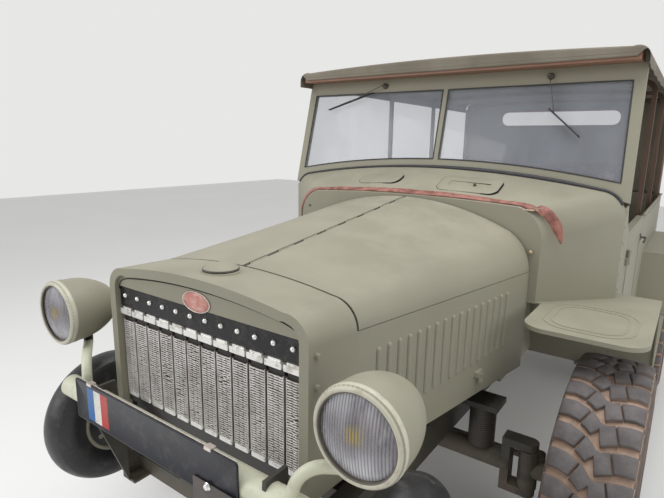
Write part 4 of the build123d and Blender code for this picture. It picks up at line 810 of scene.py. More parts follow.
def arch_outline(half, top, shoulder_x, shoulder_z, side_top, steps=40):
    """Arched section, from its right shoulder over the top to its left one.

    A side is an arc about (half - r, side) with r = ((half - sx)^2 + (sz - side)^2) / (2 (half - sx)), and
    the crown an arc about (0, top - R) with R = (sx^2 + (top - sz)^2) / (2 (top - sz))."""
    r = ((half - shoulder_x) ** 2 + (shoulder_z - side_top) ** 2) / (2 * (half - shoulder_x))
    reach = np.arctan2(shoulder_z - side_top, shoulder_x - half + r)
    crown_radius = (shoulder_x**2 + (top - shoulder_z) ** 2) / (2 * (top - shoulder_z))
    spread = np.arcsin(shoulder_x / crown_radius)
    turn = np.linspace(0, reach, steps)
    left = joined(half - r + r * np.cos(turn), side_top + r * np.sin(turn))
    bow = np.linspace(spread, -spread, 3 * steps)[1:-1]
    crown = joined(crown_radius * np.sin(bow), top - crown_radius + crown_radius * np.cos(bow))
    return np.concatenate([left, crown, (left * (-1, 1))[::-1]])[::-1]


def arch_line(y):
    """Outline of the cowl at station y."""
    return arch_outline(*(lip_arch + (screen_arch - lip_arch) * (y - lip_y) / (screen_y - lip_y)))


def ribbon(line, outward, across, width, thickness, lift=0, crown=0):
    """A flat strap along a line of points: a closed ring of eight points carried along it.

    outward is the direction of its face at each point, and across that of its width."""
    profile = np.array([
        (-0.5, 0.15), (-0.47, 0), (0.47, 0), (0.5, 0.15),
        (0.5, 0.85), (0.46, 1), (0, 1 + crown), (-0.46, 1),
    ])
    lift = np.broadcast_to(lift, len(line))[:, None, None]
    side = profile[None, :, :1] * width * across[:, None, :]
    up = (profile[None, :, 1:] * thickness + lift) * outward[:, None, :]
    rings = line[:, None, :] + side + up
    ends = rings.mean(1, keepdims=True)
    shut = [np.broadcast_to(end, rings[:1].shape) for end in (ends[:1], ends[-1:])]
    return patch(np.concatenate([shut[0], rings, shut[1]]), close_columns=True)


def strap_line(y, start_z, end_x):
    """The cowl's outline at y, from height start_z on its right side to x = end_x on its left."""
    line = arch_line(y)
    foot = joined(line[0, 0], np.linspace(start_z, line[0, 1], 9)[:-1])
    line = np.concatenate([foot, line])
    return stood_up(line[: np.argmax(line[:, 0] > end_x)], y)


def unit(vectors):
    return vectors / np.linalg.norm(vectors, axis=-1, keepdims=True)


def faces_of(line, across):
    """Outward direction of a strap along a line: the way on crossed with its width, away from the cowl's middle."""
    outward = unit(np.cross(unit(np.gradient(line, axis=0)), across))
    return outward * np.sign((outward * (line - (0, line[0, 1], 1))).sum(1, keepdims=True))


strap_width, strap_thickness = 0.034, 0.0034
strap_y = lip_y + 0.0205
buckle_x = 0.512
band_line = strap_line(strap_y, strap_low.z + 0.004, buckle_x)
band_across = unit(strap_line(strap_y + 0.001, strap_low.z + 0.004, buckle_x + 0.003)[: len(band_line)] - band_line)
band_outward = faces_of(band_line, band_across)
travel = np.cumsum(np.r_[0, np.linalg.norm(np.diff(band_line, axis=0), axis=1)])
ripple = 0.0014 + 0.0012 * np.sin(travel * 31) * np.sin(travel * 9 + 1)
strap_pieces = [ribbon(band_line, band_outward, band_across, strap_width, strap_thickness, ripple, 0.25)]
tail = band_line[-1] + 0.0015 * band_outward[-1]
tongue_line = through([
    tail - (0.02, 0, -0.002), tail, (0.534, strap_y, 1.356), (0.562, strap_y - 0.003, 1.343),
    (0.586, strap_y - 0.006, 1.317), (0.603, strap_y - 0.006, 1.284), (0.613, strap_y - 0.002, 1.246),
], 8)
forward_way = unit(np.gradient(tongue_line, axis=0))
share = np.linspace(0, 1, len(tongue_line))[:, None]
turned = clipped((share - 0.2) / 0.35)
lying = np.broadcast_to(band_across[-1], forward_way.shape)
facing = np.cross(forward_way, (0, -1, 0.12))
tongue_across = lying * (1 - turned) - facing * turned
tongue_across = unit(tongue_across - (tongue_across * forward_way).sum(1, keepdims=True) * forward_way)
tongue_outward = np.cross(forward_way, tongue_across)
tongue_outward *= np.sign((tongue_outward * (0.3, -0.8, 0.6)).sum(1, keepdims=True))
taper = 1.08 - 0.9 * clipped((share - 0.72) / 0.28) ** 1.6
tongue_across = tongue_across * taper
strap_pieces.append(ribbon(tongue_line, tongue_outward, tongue_across, strap_width, strap_thickness, 0.002, 0.15))
add_piece("strap_band", strap_pieces, "strap_leather", "strap_leather", replaces=("leather_strap",))


def hoop(middle, first, second, half, radius, corner=0.35, turns=48, sides=10):
    """A round bar bent to a rounded rectangle in the plane of two directions.

    Its middle line is half * sign(c) |c|^corner and half * sign(s) |s|^corner for the cosine and sine of each turn."""
    turn = round_angles(turns) + pi / turns
    c, s = np.cos(turn), np.sin(turn)
    flat = joined(half[0] * np.sign(c) * np.abs(c) ** corner, half[1] * np.sign(s) * np.abs(s) ** corner)
    first, second = np.array(first), np.array(second)
    line = np.array(middle) + flat[:, :1] * first + flat[:, 1:] * second
    along_bar = unit(np.roll(line, -1, 0) - np.roll(line, 1, 0))
    normal = unit(np.cross(first, second))
    beside = np.cross(along_bar, normal)
    bar = round_angles(sides)[None, :, None]
    points = line[:, None, :] + radius * (np.cos(bar) * normal + np.sin(bar) * beside[:, None, :])
    return patch(points, close_rows=True, close_columns=True)


buckle_way, buckle_across, buckle_out = forward_way[8], band_across[-1], band_outward[-1]
buckle_middle = tail + 0.0045 * buckle_out
prong_line = buckle_middle + np.array([(-0.014, 0.002), (0.016, 0.0035)]) @ np.array([buckle_way, buckle_out])
prong = ribbon(prong_line, np.array([buckle_out] * 2), np.array([buckle_across] * 2), 0.0036, 0.0026)
buckle_bar = hoop(buckle_middle, buckle_way, buckle_across, (0.015, 0.0215), 0.0024)
add_piece("strap_buckle", [buckle_bar, prong], "worn_brass", "strap_leather")
keeper_middle = tail - 0.034 * buckle_way + 0.0026 * buckle_out
keeper = hoop(keeper_middle, buckle_out, buckle_across, (0.0048, 0.0185), 0.003)
add_piece("strap_keeper", [keeper], "strap_leather", "strap_leather")


def cowl_top(x, y):
    """Height of the cowl's crowned top at points in a row.

    Its ridge rises from the lip to the screen, and it falls by R - sqrt(R^2 - x^2) to the sides."""
    share = (y - lip_y) / (screen_y - lip_y)
    half, top, shoulder_x, shoulder_z, side_top = lip_arch[:, None] + (screen_arch - lip_arch)[:, None] * share
    crown_radius = (shoulder_x**2 + (top - shoulder_z) ** 2) / (2 * (top - shoulder_z))
    return top - crown_radius + np.sqrt(crown_radius**2 - x**2)


def flap(low, high, corner, lift, rows):
    """A rounded plate on the cowl's top. It rises by lift times the fifth power of the share of its width.

    Each row is an inset of its outline and a height over the cowl."""
    points, faces = plate_grid(low, high, corner, rows, 12)
    x, height, y = points.T
    raised = lift * clipped((x - low[0]) / (high[0] - low[0])) ** 5
    return joined(x, y, cowl_top(x, y) + height + raised), faces


flap_plans = (((0.098, lip_y + 0.06), (0.352, lip_y + 0.18)), ((-0.297, lip_y + 0.082), (-0.088, lip_y + 0.168)))
flap_rows, gap_rows = mm(43, 0, 0, 0.2, 0, 1.2, 1.2, 1.8, 43, 1.8), mm(43, -1, 0, -0.5, 0, 0.4, 43, 0.4)
edge = 0.0018
# Under each flap lies a dark sheet a little larger than it: painted shade of the gap round its edge
plates, gaps = [], []
for low, high in flap_plans:
    plates.append(flap(low, high, 0.034, 0.0075, flap_rows))
    gap_low, gap_high = (low[0] - edge, low[1] - edge), (high[0] + 2 * edge, high[1] + edge)
    gaps.append(flap(gap_low, gap_high, 0.036, 0, gap_rows))
add_piece("vent_flaps", plates, "body_paint", "body_paint")
add_piece("vent_gaps", gaps, "shadow_gap", "black_paint")
knob = mm(0, 0, 0, 4, -4, 4, -5.2, 6.8, -8.2, 6.4, -9.8, 3.8, -10, 0)
screw = mm(0, 0, 0, 6.2, -1.2, 6, -2.6, 4, -3, 0)
knob_x, knob_y = 0.249, lip_y + 0.118
knob_foot = (knob_x, knob_y, cowl_top(np.array([knob_x]), knob_y)[0] + 0.001)
into_cowl = (0, 0.394, -0.919)
small_knobs = [lathe(knob, knob_foot, into_cowl, 24), lathe(screw, (-0.506, lip_y, 1.291), turns=20)]
add_piece("cowl_knobs", small_knobs, "bracket_steel", "radiator_metal")
stop_knob = mm(0, 0, 0, 7.8, -3, 8.6, -10, 8.4, -13.5, 6.2, -14.5, 0)
stops = [lathe(stop_knob, (x, lip_y, 1.2045), turns=28) for x in (0.519, -0.519)]
add_piece("cowl_stops", stops, "worn_brass", "radiator_metal")

# Canvas top: one sheet over the bows with a front flap and short valances, and a curtain behind
canvas_low, canvas_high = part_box("canvas_top")
roof_front, roof_back = canvas_low.y, canvas_high.y
roof_side = 1.894
roof_arch = (canvas_high.x - 0.001, canvas_high.z - 0.002, 0.729, canvas_high.z - 0.02, roof_side)
valance_bottom, flap_foot = 1.868, 1.899
bow_places = np.array([roof_front + 0.004, 0.3335, 0.9935, 1.7035, roof_back + 0.1])
bow_sag, pull_height, valance_wave, valance_depth = 0.015, 0.0015, 0.0022, 0.026
turn_radius, turn_start, flap_half = 0.0065, roof_front + 0.006, 0.775


def bow_share(y):
    """Share of the way from one bow to the next at y, from 0 to 1."""
    number = np.clip(np.searchsorted(bow_places, y, "right") - 1, 0, len(bow_places) - 2)
    return clipped((y - bow_places[number]) / (bow_places[number + 1] - bow_places[number]))


roof_line = arch_outline(*roof_arch, steps=12)


def roof_points():
    """Sheet over the bows. It hangs by 15 mm sin(pi t)^0.8 between them, t being the share of the way, and
    has shallow pulls of 1.5 mm that run aslant from the bows. The valances wave by 2.2 mm sin(31 y), and the
    flap turns down over the front edge."""
    foot = joined(roof_line[0, 0], np.linspace(valance_bottom, roof_line[0, 1], 4)[:-1])
    line = np.concatenate([foot, roof_line, (foot * (-1, 1))[::-1]])
    x, z = line[None, :, 0], line[None, :, 1]
    y = np.linspace(turn_start, roof_back, 190)[:, None]
    t = bow_share(y)
    slack = np.sin(pi * t) ** 0.8
    flat = clipped(1 - (x / 0.76) ** 2) ** 0.5
    pulls = np.sin(9 * x + 16 * y + 2 * np.sin(5 * y)) * np.sin(14 * x - 7 * y)
    roof_z = z - bow_sag * slack * flat + pull_height * pulls * flat * slack
    upright = clipped((0.012 + roof_side - z) / 0.012)
    waves = valance_wave * np.sin(31 * y + np.sign(x)) * clipped((roof_side - z) / valance_depth)
    roof_x = x - np.sign(x) * (0.004 * slack * upright) + waves
    top = joined(roof_x, y, roof_z)
    turn = np.linspace(0, pi / 2, 5)[1:, None]
    over = clipped((flap_half - np.abs(x)) / 0.03)
    edge_y = turn_start - turn_radius * np.sin(turn)
    edge_z = z - turn_radius * (1 - np.cos(turn)) * over
    edge = joined(x, edge_y, edge_z)
    down = np.linspace(0, 1, 7)[1:, None]
    hang = clipped(edge_z[-1:] - flap_foot) * over
    ripple = 0.0008 * np.sin(26 * x + 3 * np.sin(4 * x)) * down
    front = joined(x, turn_start - turn_radius - ripple, edge_z[-1:] - hang * down)
    return np.concatenate([front[::-1], edge[::-1], top])


def edge_distance(points):
    """Way along the sheet from each point of a grid to its nearest outer edge."""
    ways = []
    for axis in (0, 1):
        step = np.linalg.norm(np.diff(points, axis=axis), axis=-1)
        way = np.cumsum(np.insert(step, 0, 0, axis=axis), axis=axis)
        ways.append(np.minimum(way, way.take([-1], axis) - way))
    return np.minimum(*ways)


def cloth_piece(name, sheet, to_edge, **choices):
    """A piece of canvas with its attribute of the way to the edge, and its thickness."""
    piece = add_piece(name, [sheet], "canvas", "canvas", edge=[to_edge], **choices)
    solid = piece.modifiers.new("cloth_thickness", "SOLIDIFY")
    solid.thickness = 0.0018
    solid.offset = 0
    return piece


roof_grid = roof_points()
roof_sheet = cloth_piece("canvas_roof", patch(roof_grid), edge_distance(roof_grid), replaces=("canvas_top",))

window_middle, window_half, window_corner = np.array([0, 1.808]), np.array([0.449, 0.055]), 0.049
curtain_half, curtain_foot, curtain_top = 0.768, 1.2515, 1.93


def rectangle_line(half, low, high):
    """Points round an upright rectangle, from its lower right corner along its foot."""
    corners = [(-half, low), (half, low), (half, high), (-half, high), (-half, low)]
    counts = (46, 24, 46, 24)
    return np.concatenate([np.linspace(*ends, n, endpoint=False) for *ends, n in zip(corners, corners[1:], counts)])


def window_line(grow=0):
    """The window's outline: a rectangle's points drawn in to round corners."""
    half = window_half + grow
    line = rectangle_line(half[0], -half[1], half[1])
    hub = np.clip(line, -(half - window_corner), half - window_corner)
    return window_middle + hub + window_corner * unit(line - hub)


def curtain_at(flat):
    """The curtain's points from (x, z) pairs: it hangs in folds that grow from nothing at the roof to 5 mm below."""
    x, z = flat[..., 0], flat[..., 1]
    fall = clipped((curtain_top - z) / 0.62)
    folds = 0.005 * fall * np.sin(33 * x + 1.3 * np.sin(5 * x)) - 0.002 * fall * np.sin(9 * x + 4 * z)
    return joined(x, roof_back - 0.0055 + folds, z)


outer_line = rectangle_line(curtain_half, curtain_foot, curtain_top)
under_roof = np.interp(outer_line[:, 0], roof_line[:, 0], roof_line[:, 1]) - 0.003
at_top = outer_line[:, 1] >= curtain_top - 0.0001
outer_line[:, 1] = np.where(at_top, under_roof, np.minimum(outer_line[:, 1], under_roof))
between = np.linspace(0, 1, 26)[:, None, None] ** 1.2
curtain_points = curtain_at(window_line()[None] * (1 - between) + outer_line[None] * between)
to_edge = np.linalg.norm(curtain_points - curtain_points[-1:], axis=-1)
curtain = cloth_piece("canvas_curtain", patch(curtain_points, close_columns=True), to_edge)
# Each pair is how far the binding reaches past the window, and its place towards the back
binding_profile = mm(0, -1.2, -1, -3, 12, -3, 13, -1, 13, 1.2, 12, 3, -1, 3, 0, 1.2)
binding = np.array([curtain_at(window_line(grow)) + (0, place, 0) for grow, place in binding_profile])
binding_patch = patch(binding, close_rows=True, close_columns=True)
add_piece("window_binding", [binding_patch], "strap_leather", "strap_leather")

# Cushions: pads blown up by a cloth simulation, then sewn into channels
seat_front, bench_front = radiator_y + 1.9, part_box("rear_panel")[0].y + 0.006 - 0.68
# Each row is a seat's middle in x, its width, front edge, depth and number of channels
seat_rows = ((0.38, 0.48, seat_front, 0.44, 8), (-0.38, 0.48, seat_front, 0.44, 8), (0, 1.24, bench_front, 0.43, 20))
cushion_foot, cushion_top, back_foot, back_top = 0.9303, 1.0403, 1.052, 1.48
swell_cap, swell_frames = 0.022, 20


def pad_points(low, high, corner, face):
    """A closed pad in a box: round corners in plan, round edges, and a crown on its face.

    face is the axis that its seat looks along, 2 for a seat cushion and 1 for a back."""
    low, high = np.array(low), np.array(high)
    plan = [axis for axis in range(3) if axis != face]
    outline = corner_ring((high - low)[plan] / 2 - corner, corner, 7)
    # Each pair is a share of the outline's size and of the thickness, in thousandths
    rows = mm(0, 0, 500, 0, 900, 0, 985, 80, 1000, 300, 1000, 700, 970, 920, 900, 1000, 500, 1060, 0, 1080)
    rings = np.zeros((len(rows), len(outline), 3))
    for ring, (spread, height) in zip(rings, rows):
        ring[:, plan] = outline * spread
        ring[:, face] = (high - low)[face] * height
    middle = (low + high) / 2
    middle[face] = low[face]
    return rings + middle


def evaluated_mesh(piece):
    return bpy.data.meshes.new_from_object(piece.evaluated_get(bpy.context.evaluated_depsgraph_get()))


def read_places(mesh):
    places = np.empty(len(mesh.vertices) * 3)
    mesh.vertices.foreach_get("co", places)
    return places.reshape(-1, 3)


def blown_up(pads):
    """Swells pads with a cloth simulation: each point moves by at most the cap, and the resting face stays."""
    starts = []
    for piece, face, rest in pads:
        remesh = piece.modifiers.new("even_faces", "REMESH")
        remesh.mode = "VOXEL"
        remesh.voxel_size = 0.009
        piece.data = evaluated_mesh(piece)
        piece.modifiers.clear()
        places = read_places(piece.data)
        starts.append(places)
        group = piece.vertex_groups.new(name="resting")
        group.add(np.flatnonzero(np.abs(places[:, face] - rest) < 0.006).tolist(), 1, "REPLACE")
        cloth = piece.modifiers.new("swelling", "CLOTH")
        cloth.settings.use_pressure = True
        cloth.settings.uniform_pressure_force = 4
        cloth.settings.effector_weights.gravity = 0
        cloth.settings.vertex_group_mass = "resting"
        cloth.settings.quality = 4
        cloth.point_cache.frame_end = swell_frames
    for number in range(1, swell_frames + 1):
        bpy.context.scene.frame_set(number)
    for (piece, face, rest), before in zip(pads, starts):
        mesh = evaluated_mesh(piece)
        moved = read_places(mesh) - before
        far = np.linalg.norm(moved, axis=1, keepdims=True)
        moved *= np.minimum(1, swell_cap / np.maximum(far, 1e-9))
        mesh.vertices.foreach_set("co", (before + moved).ravel())
        piece.modifiers.clear()
        piece.vertex_groups.clear()
        piece.data = mesh
    bpy.context.scene.frame_set(1)


# A pad starts slimmer than its box on each side, and more so where it looks out, so that it can swell
slim = 0.012
pad_corner, seam_depth, seam_width = 0.045, 0.007, 0.008
pads, pad_facts = [], []
for number, (x, width, front, depth, channels) in enumerate(seat_rows):
    left, right = x - width / 2, x + width / 2
    boxes = (
        ("seat_pad", (left, front - 0.003, cushion_foot), (right, front + depth - 0.013, cushion_top), 2),
        ("back_pad", (left, front + depth - 0.0893, back_foot), (right, front + depth + 0.0057, back_top), 1),
    )
    for kind, low, high, face in boxes:
        inner_low = [low[axis] + (slim if axis != face else 0) for axis in range(3)]
        inner_high = [high[axis] - slim * (1 if axis != face else 1.6) for axis in range(3)]
        points = pad_points(inner_low, inner_high, pad_corner, face)
        if face == 1:
            points[..., 1] = low[1] + high[1] - points[..., 1]
            points[..., 1] += high[1] - points[..., 1].max()
        replaced = () if pads else ("seat_cushions",)
        pad = patch(points, close_columns=True)
        piece = add_piece(f"{kind}_{number + 1}", [pad], "seat_leather", "seat_leather", replaces=replaced)
        pads.append((piece, face, low[2] if face == 2 else high[1]))
        pad_facts.append((low, high, channels))
blown_up(pads)
for (piece, face, rest), (low, high, channels) in zip(pads, pad_facts):
    subdivide = piece.modifiers.new("smooth_leather", "SUBSURF")
    subdivide.levels = subdivide.render_levels = 1
    piece.data = evaluated_mesh(piece)
    piece.modifiers.clear()
    places = read_places(piece.data)
    share = (places[:, 0] - low[0]) / (high[0] - low[0]) * channels
    seam = np.exp(-(((share - np.round(share)) * (high[0] - low[0]) / channels / seam_width) ** 2))
    seam *= (share > 0.5) & (share < channels - 0.5)
    away = clipped(np.abs(places[:, face] - rest) / 0.08)
    border = 3 - face
    inside = np.minimum(places[:, border] - low[border], high[border] - places[:, border])
    depth = seam_depth * seam * away * clipped((inside - 0.02) / 0.03)
    places[:, face] += depth * (-1 if face == 2 else 1)
    piece.data.vertices.foreach_set("co", places.ravel())
    piece.data.polygons.foreach_set("use_smooth", np.ones(len(piece.data.polygons), bool))
    piece.data.update()

# Windscreen: a dark band on the cowl along its foot, seals round the panes, and two slim wipers
screen_lean = radians(13)
screen_foot = np.array([0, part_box("windscreen_frame")[0].y + 0.01533, 1.395])
screen_up = np.array([0, sin(screen_lean), cos(screen_lean)])
screen_out = np.array([0, -cos(screen_lean), sin(screen_lean)])


def on_screen(flat, out):
    """Points of the leaning windscreen from (across, up) pairs, out in front of its middle plane."""
    flat = np.asarray(flat, float)
    return screen_foot + flat @ [(1, 0, 0), screen_up] + np.asarray(out).reshape(-1, 1) * screen_out


def tube(line, radius, turns=10, flatten=1, closed=False, up=(0, 0, 1)):
    """A round or flattened bar along a line: line + r (cos(a) side + flatten sin(a) normal), shut at its ends."""
    line = np.asarray(line, float)
    way = unit(np.roll(line, -1, 0) - np.roll(line, 1, 0)) if closed else unit(np.gradient(line, axis=0))
    side = unit(np.cross(way, up))[:, None]
    normal = np.cross(side, way[:, None])
    angle = round_angles(turns)[None, :, None]
    radius = np.broadcast_to(radius, len(line))[:, None, None]
    rings = line[:, None] + radius * (np.cos(angle) * side + flatten * np.sin(angle) * normal)
    if not closed:
        first, last = (np.broadcast_to(end, rings[:1].shape) for end in (line[0], line[-1]))
        rings = np.concatenate([first, rings, last])
    return patch(rings, close_rows=closed, close_columns=True)


foot_line = arch_line(screen_y - 0.004)
foot_line = foot_line[np.abs(foot_line[:, 0]) < 0.766]
foot_x = foot_line[:, 0]
swell = 0.0055 + 0.0035 * clipped((foot_x + 0.3) / 0.5) * clipped((0.72 - foot_x) / 0.2)
foot_tube = tube(stood_up(foot_line + (0, 0.004), screen_y - 0.003), swell)
add_piece("screen_foot_band", [foot_tube], "seal_rubber", "black_paint")
frame_half, frame_top, frame_bar, divider_half = 0.787, 0.5049, 0.038, 0.012


def pane_line(side, grow):
    """Outline of one pane: its foot falls from the middle by rise (1 - (x / half)^2)."""
    half_foot, inner = frame_half - frame_bar + grow, divider_half - grow
    half_top = half_foot - 0.012
    x = np.linspace(inner, half_foot, 24)
    foot = joined(x, 0.056 - grow + 0.068 * (1 - (x / half_foot) ** 2))
    top_v = frame_top - 0.064 + grow
    right_edge = joined(np.linspace(half_foot, half_top, 14)[1:], np.linspace(foot[-1, 1], top_v, 14)[1:])
    top = joined(np.linspace(half_top, inner, 24)[1:], top_v)
    left_edge = joined(inner, np.linspace(top_v, foot[0, 1], 14)[1:-1])
    return np.concatenate([foot, right_edge, top, left_edge]) * (side, 1)


seals = [tube(on_screen(pane_line(side, -0.001), 0.0125), 0.0028, 8, closed=True, up=screen_out) for side in (1, -1)]
add_piece("pane_seals", seals, "seal_rubber", "black_paint")
pivot_v = frame_top - 0.034
# Each row is a pivot, the arm's end, and the blade's two ends, as (across, up) on the windscreen
wiper_rows = (
    ((0.444, pivot_v), (0.481, pivot_v - 0.155), (0.4574, pivot_v - 0.133), (0.5846, pivot_v - 0.246)),
    ((-0.318, pivot_v), (-0.497, pivot_v - 0.073), (-0.379, pivot_v - 0.032), (-0.634, pivot_v - 0.11)),
)
arms, blades = [], []
pivot_profile = mm(0, 0, 0, 13, 12, 12.5, 14.5, 10.5, 15, 6, 26, 5.5, 27.5, 3.5, 27.5, 0)
arm_out = np.interp(np.linspace(0, 1, 9), (0, 0.2, 1), (0.034, 0.037, 0.029))
for pivot, arm_end, blade_start, blade_end in wiper_rows:
    arms.append(lathe(pivot_profile, on_screen([pivot], 0.0125)[0], screen_out, 24))
    arms.append(tube(on_screen(np.linspace(pivot, arm_end, 9), arm_out), 0.002, 8, up=screen_out))
    blade_flat = np.linspace(blade_start, blade_end, 13)
    bowed = 0.0245 + 0.003 * np.sin(np.linspace(0, pi, 13))
    blades.append(tube(on_screen(blade_flat, bowed), 0.0034, 8, up=screen_out))
    blades.append(tube(on_screen(blade_flat, 0.018), 0.002, 6, flatten=2.4, up=screen_out))
add_piece("wiper_blades", blades, "seal_rubber", "black_paint", replaces=("wipers",))
add_piece("wiper_arms", arms, "bracket_steel", "black_paint")

# A dark tube under the shell's rim, painted shadow of the gap there: z = top - 0.25 x^2 along the middle, rounded down
# to the clamp band
gap_top = 1.2197
middle_x = np.linspace(-0.29, 0.29, 60)
gap_arc = joined(middle_x, gap_top - 0.25 * middle_x**2)
gap_corner = through([(0.29, gap_top - 0.021), (0.318, 1.1905), (0.333, 1.179), (0.34, 1.161)], 5)[1:]
gap_line = stood_up(np.concatenate([(gap_corner * (-1, 1))[::-1], gap_arc, gap_corner]), radiator_y + 0.0008)
gap_tube = tube(gap_line, 0.0017, 8, flatten=0.6, up=(0, 1, 0))
add_piece("shell_gap", [gap_tube], "shadow_gap", "black_paint")

# Wheels: a hollow cap on each hub, clear of the stub axle, six nuts, a ring on the disc and a bead on the rim
hub_cap = mm(
    0, 47.5, 0, 50, 4, 51.5, 10, 49, 17, 40, 21, 26, 22.5, 12, 22.5, 0, 19.5, 0, 18.5, 12, 16, 28, 10, 41, 0, 47.5
)
disc_ring = mm(-1, 132, 4, 136, 6.5, 144, 6.5, 156, 4, 164, -1, 168, -1, 132)
nut = mm(0, 0, 0, 15.5, 3, 15, 3, 11.8, 14, 11.2, 16.5, 8.5, 16.5, 0)
rim_bead = mm(90.5, 243, 96, 241.5, 100, 244.5, 98.5, 249, 93, 249, 90.5, 243)
disc_face, nut_circle = -0.0035, 0.098
for place in wheel_places:
    name = "wheel_" + place
    middle = middle_of(name)
    axle = Vector((1 if middle.x > 0 else -1, 0, 0))
    face = middle + disc_face * axle
    first = axle.orthogonal().normalized()
    nuts = lathe_ring(nut, face, axle, nut_circle, 6, 6, first, axle.cross(first))
    cap = lathe(hub_cap, middle + 0.045 * axle, axle, 40)
    trim = [cap, lathe(disc_ring, face, axle), lathe(rim_bead, middle, axle, 96)]
    add_piece(name + "_trim", trim, "body_paint", "body_paint", name)
    add_piece(name + "_nuts", nuts, "nut_steel", "body_paint", name, smooth=False)

# Spare wheel: a pressed ring, six stud holes drawn as dark discs of painted shade, and a clamp plate with its nut on
# the boss
spare_face = middle_of("spare_wheel") + Vector((0, disc_face, 0))
stud_hole = mm(-0.5, 0, -0.5, 13, 0.7, 12.5, 0.4, 10.5, 0.4, 0)
clamp_plate = mm(-0.5, 31, 4, 34, 7.5, 52, 3, 70, -0.5, 72, -0.5, 31)
big_nut = mm(-1.5, 0, -1.5, 21.5, 13, 21.5, 15, 19, 16, 12, 16, 0)
spare_trim = [lathe(disc_ring, spare_face), lathe(clamp_plate, spare_face, turns=48)]
stud_holes = lathe_ring(stud_hole, spare_face, (0, 1, 0), nut_circle, 6, 16, (1, 0, 0), (0, 0, 1))
spare_nut = lathe(big_nut, (spare_face.x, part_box("rear_panel")[1].y, spare_face.z), turns=6)
add_piece("spare_trim", spare_trim, "body_paint", "body_paint")
add_piece("spare_stud_holes", stud_holes, "shadow_gap", "body_paint")
add_piece("spare_nut", [spare_nut], "nut_steel", "body_paint", smooth=False)

# Filler cap: a dark ring in the groove under its edge, painted shadow of the cap's edge
cap_shadow_profile = mm(0.8, 46.2, 0.8, 47.9, 8.2, 47.9, 8.2, 46.2, 0.8, 46.2)
cap_shadow_ring = lathe(cap_shadow_profile, (0, radiator_y + 0.085, shell_high.z - 0.02), (0, 0, 1))
add_piece("cap_shadow_ring", [cap_shadow_ring], "hinge_paint", "body_paint")

# Rollers: a pressed hub ring with a bead and five bolts on both sides
roller_ring = mm(-4, 99, 12, 101, 15.5, 105, 15.5, 110, 12, 113, -4, 113, -4, 99)
roller_bolt = mm(0, 0, 0, 11, 10, 10.5, 12, 8, 12, 0)
for name in ("roller_left", "roller_right"):
    middle = middle_of(name)
    rings, bolts = [], []
    for axle in (Vector((1, 0, 0)), Vector((-1, 0, 0))):
        face = middle + (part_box(name)[1].x - middle.x - 0.03) * axle
        rings.append(lathe(roller_ring, face, axle))
        bolts += lathe_ring(roller_bolt, face - 0.002 * axle, axle, 0.078, 5, 6, (0, 1, 0), (0, 0, 1))
    add_piece(name + "_rings", rings, "body_paint", "roller_rubber", name)
    add_piece(name + "_bolts", bolts, "nut_steel", "roller_rubber", name, smooth=False)

# Doors: a handle near the back edge and a pressed rim
body_side = 0.78
handle_rose = mm(0, 0, 0, 20, 3, 19.5, 7, 13, 7, 0)
# Points of a handle: out from the door, forward and down from its foot
handle_way = np.array([(0, 0, 0), (20, 0, 0), (28, -12, -1), (28, -55, -4), (26, -98, -10)]) / 1000
for name, side in (("door_left", 1), ("door_right", -1)):
    low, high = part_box(name)
    foot = (side * body_side, high.y - 0.055, high.z - 0.105)
    lever = through(handle_way * (side, 1, 1) + foot, 5)
    lever_tube = tube(lever, 0.0062 - 0.0015 * np.linspace(0, 1, len(lever)), 12, up=(1, 0, 0.001))
    handle = [lever_tube, lathe(handle_rose, foot, (side, 0, 0), 32)]
    add_piece(name + "_handle", handle, "bracket_steel", "body_paint", name)
    rim_middle = (side * body_side, (low.y + high.y) / 2, (low.z + high.z) / 2 - 0.01)
    rim_half = ((high.y - low.y) / 2 - 0.07, (high.z - low.z) / 2 - 0.085)
    rim = hoop(rim_middle, (0, 1, 0), (0, 0, 1), rim_half, 0.0042, 0.16, 120, 8)
    add_piece(name + "_pressing", [rim], "body_paint", "body_paint", name)

# Body: rivets on its seams and a bead along the waist, on both sides and across the tail
door_high, side_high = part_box("door_left")[1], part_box("body_side_left")[1]
tail_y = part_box("rear_panel")[0].y + 0.006
rivet = mm(0, 0, 0, 5.2, 1.2, 4.8, 2.4, 3, 2.9, 0)
rivets = []
for side in (1, -1):
    places = [(y, 1.228) for y in np.arange(door_high.y + 0.035, side_high.y - 0.02, 0.075)]
    places += [(side_high.y - 0.02, z) for z in np.arange(0.78, 1.2, 0.075)]
    places += [(screen_y + 0.022, z) for z in np.arange(1.05, 1.35, 0.06)]
    rivets += [lathe(rivet, (side * body_side, *place), (side, 0, 0), 10) for place in places]
rivets += [lathe(rivet, (x, tail_y, z), turns=10) for x in np.arange(-0.75, 0.76, 0.075) for z in (0.695, 1.23)]
add_piece("body_rivets", rivets, "body_paint", "body_paint")
bead_side, bead_height, bead_radius = 0.781, 1.2475, 0.0065
side_start, side_end = door_high.y + 0.012, tail_y + 0.002
bead_ends = [((side * bead_side, side_start), (side * bead_side, side_end)) for side in (1, -1)]
bead_ends.append(((-bead_side, tail_y + 0.001), (bead_side, tail_y + 0.001)))
beads = [tube(np.linspace((*start, bead_height), (*end, bead_height), 40), bead_radius) for start, end in bead_ends]
add_piece("waist_bead", beads, "body_paint", "body_paint")

# Tail lamps: a red glass dome and a thin rim in each
glass_dome = mm(-2, 0, -2, 31.5, 1, 31, 6, 26, 10, 15, 11.5, 0)
dome_rim = mm(-4, 31, 1.5, 31.2, 3, 33.5, 2, 37, -4, 38.5, -4, 31)
tail_lamps = [(side * 0.69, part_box("tail_lamps")[1].y, 0.76) for side in (1, -1)]
add_piece("tail_lamp_glass", [lathe(glass_dome, middle, turns=40) for middle in tail_lamps], "red_glass", "lens_glass")
add_piece("tail_lamp_rims", [lathe(dome_rim, middle, turns=40) for middle in tail_lamps], "bright_metal", "black_paint")

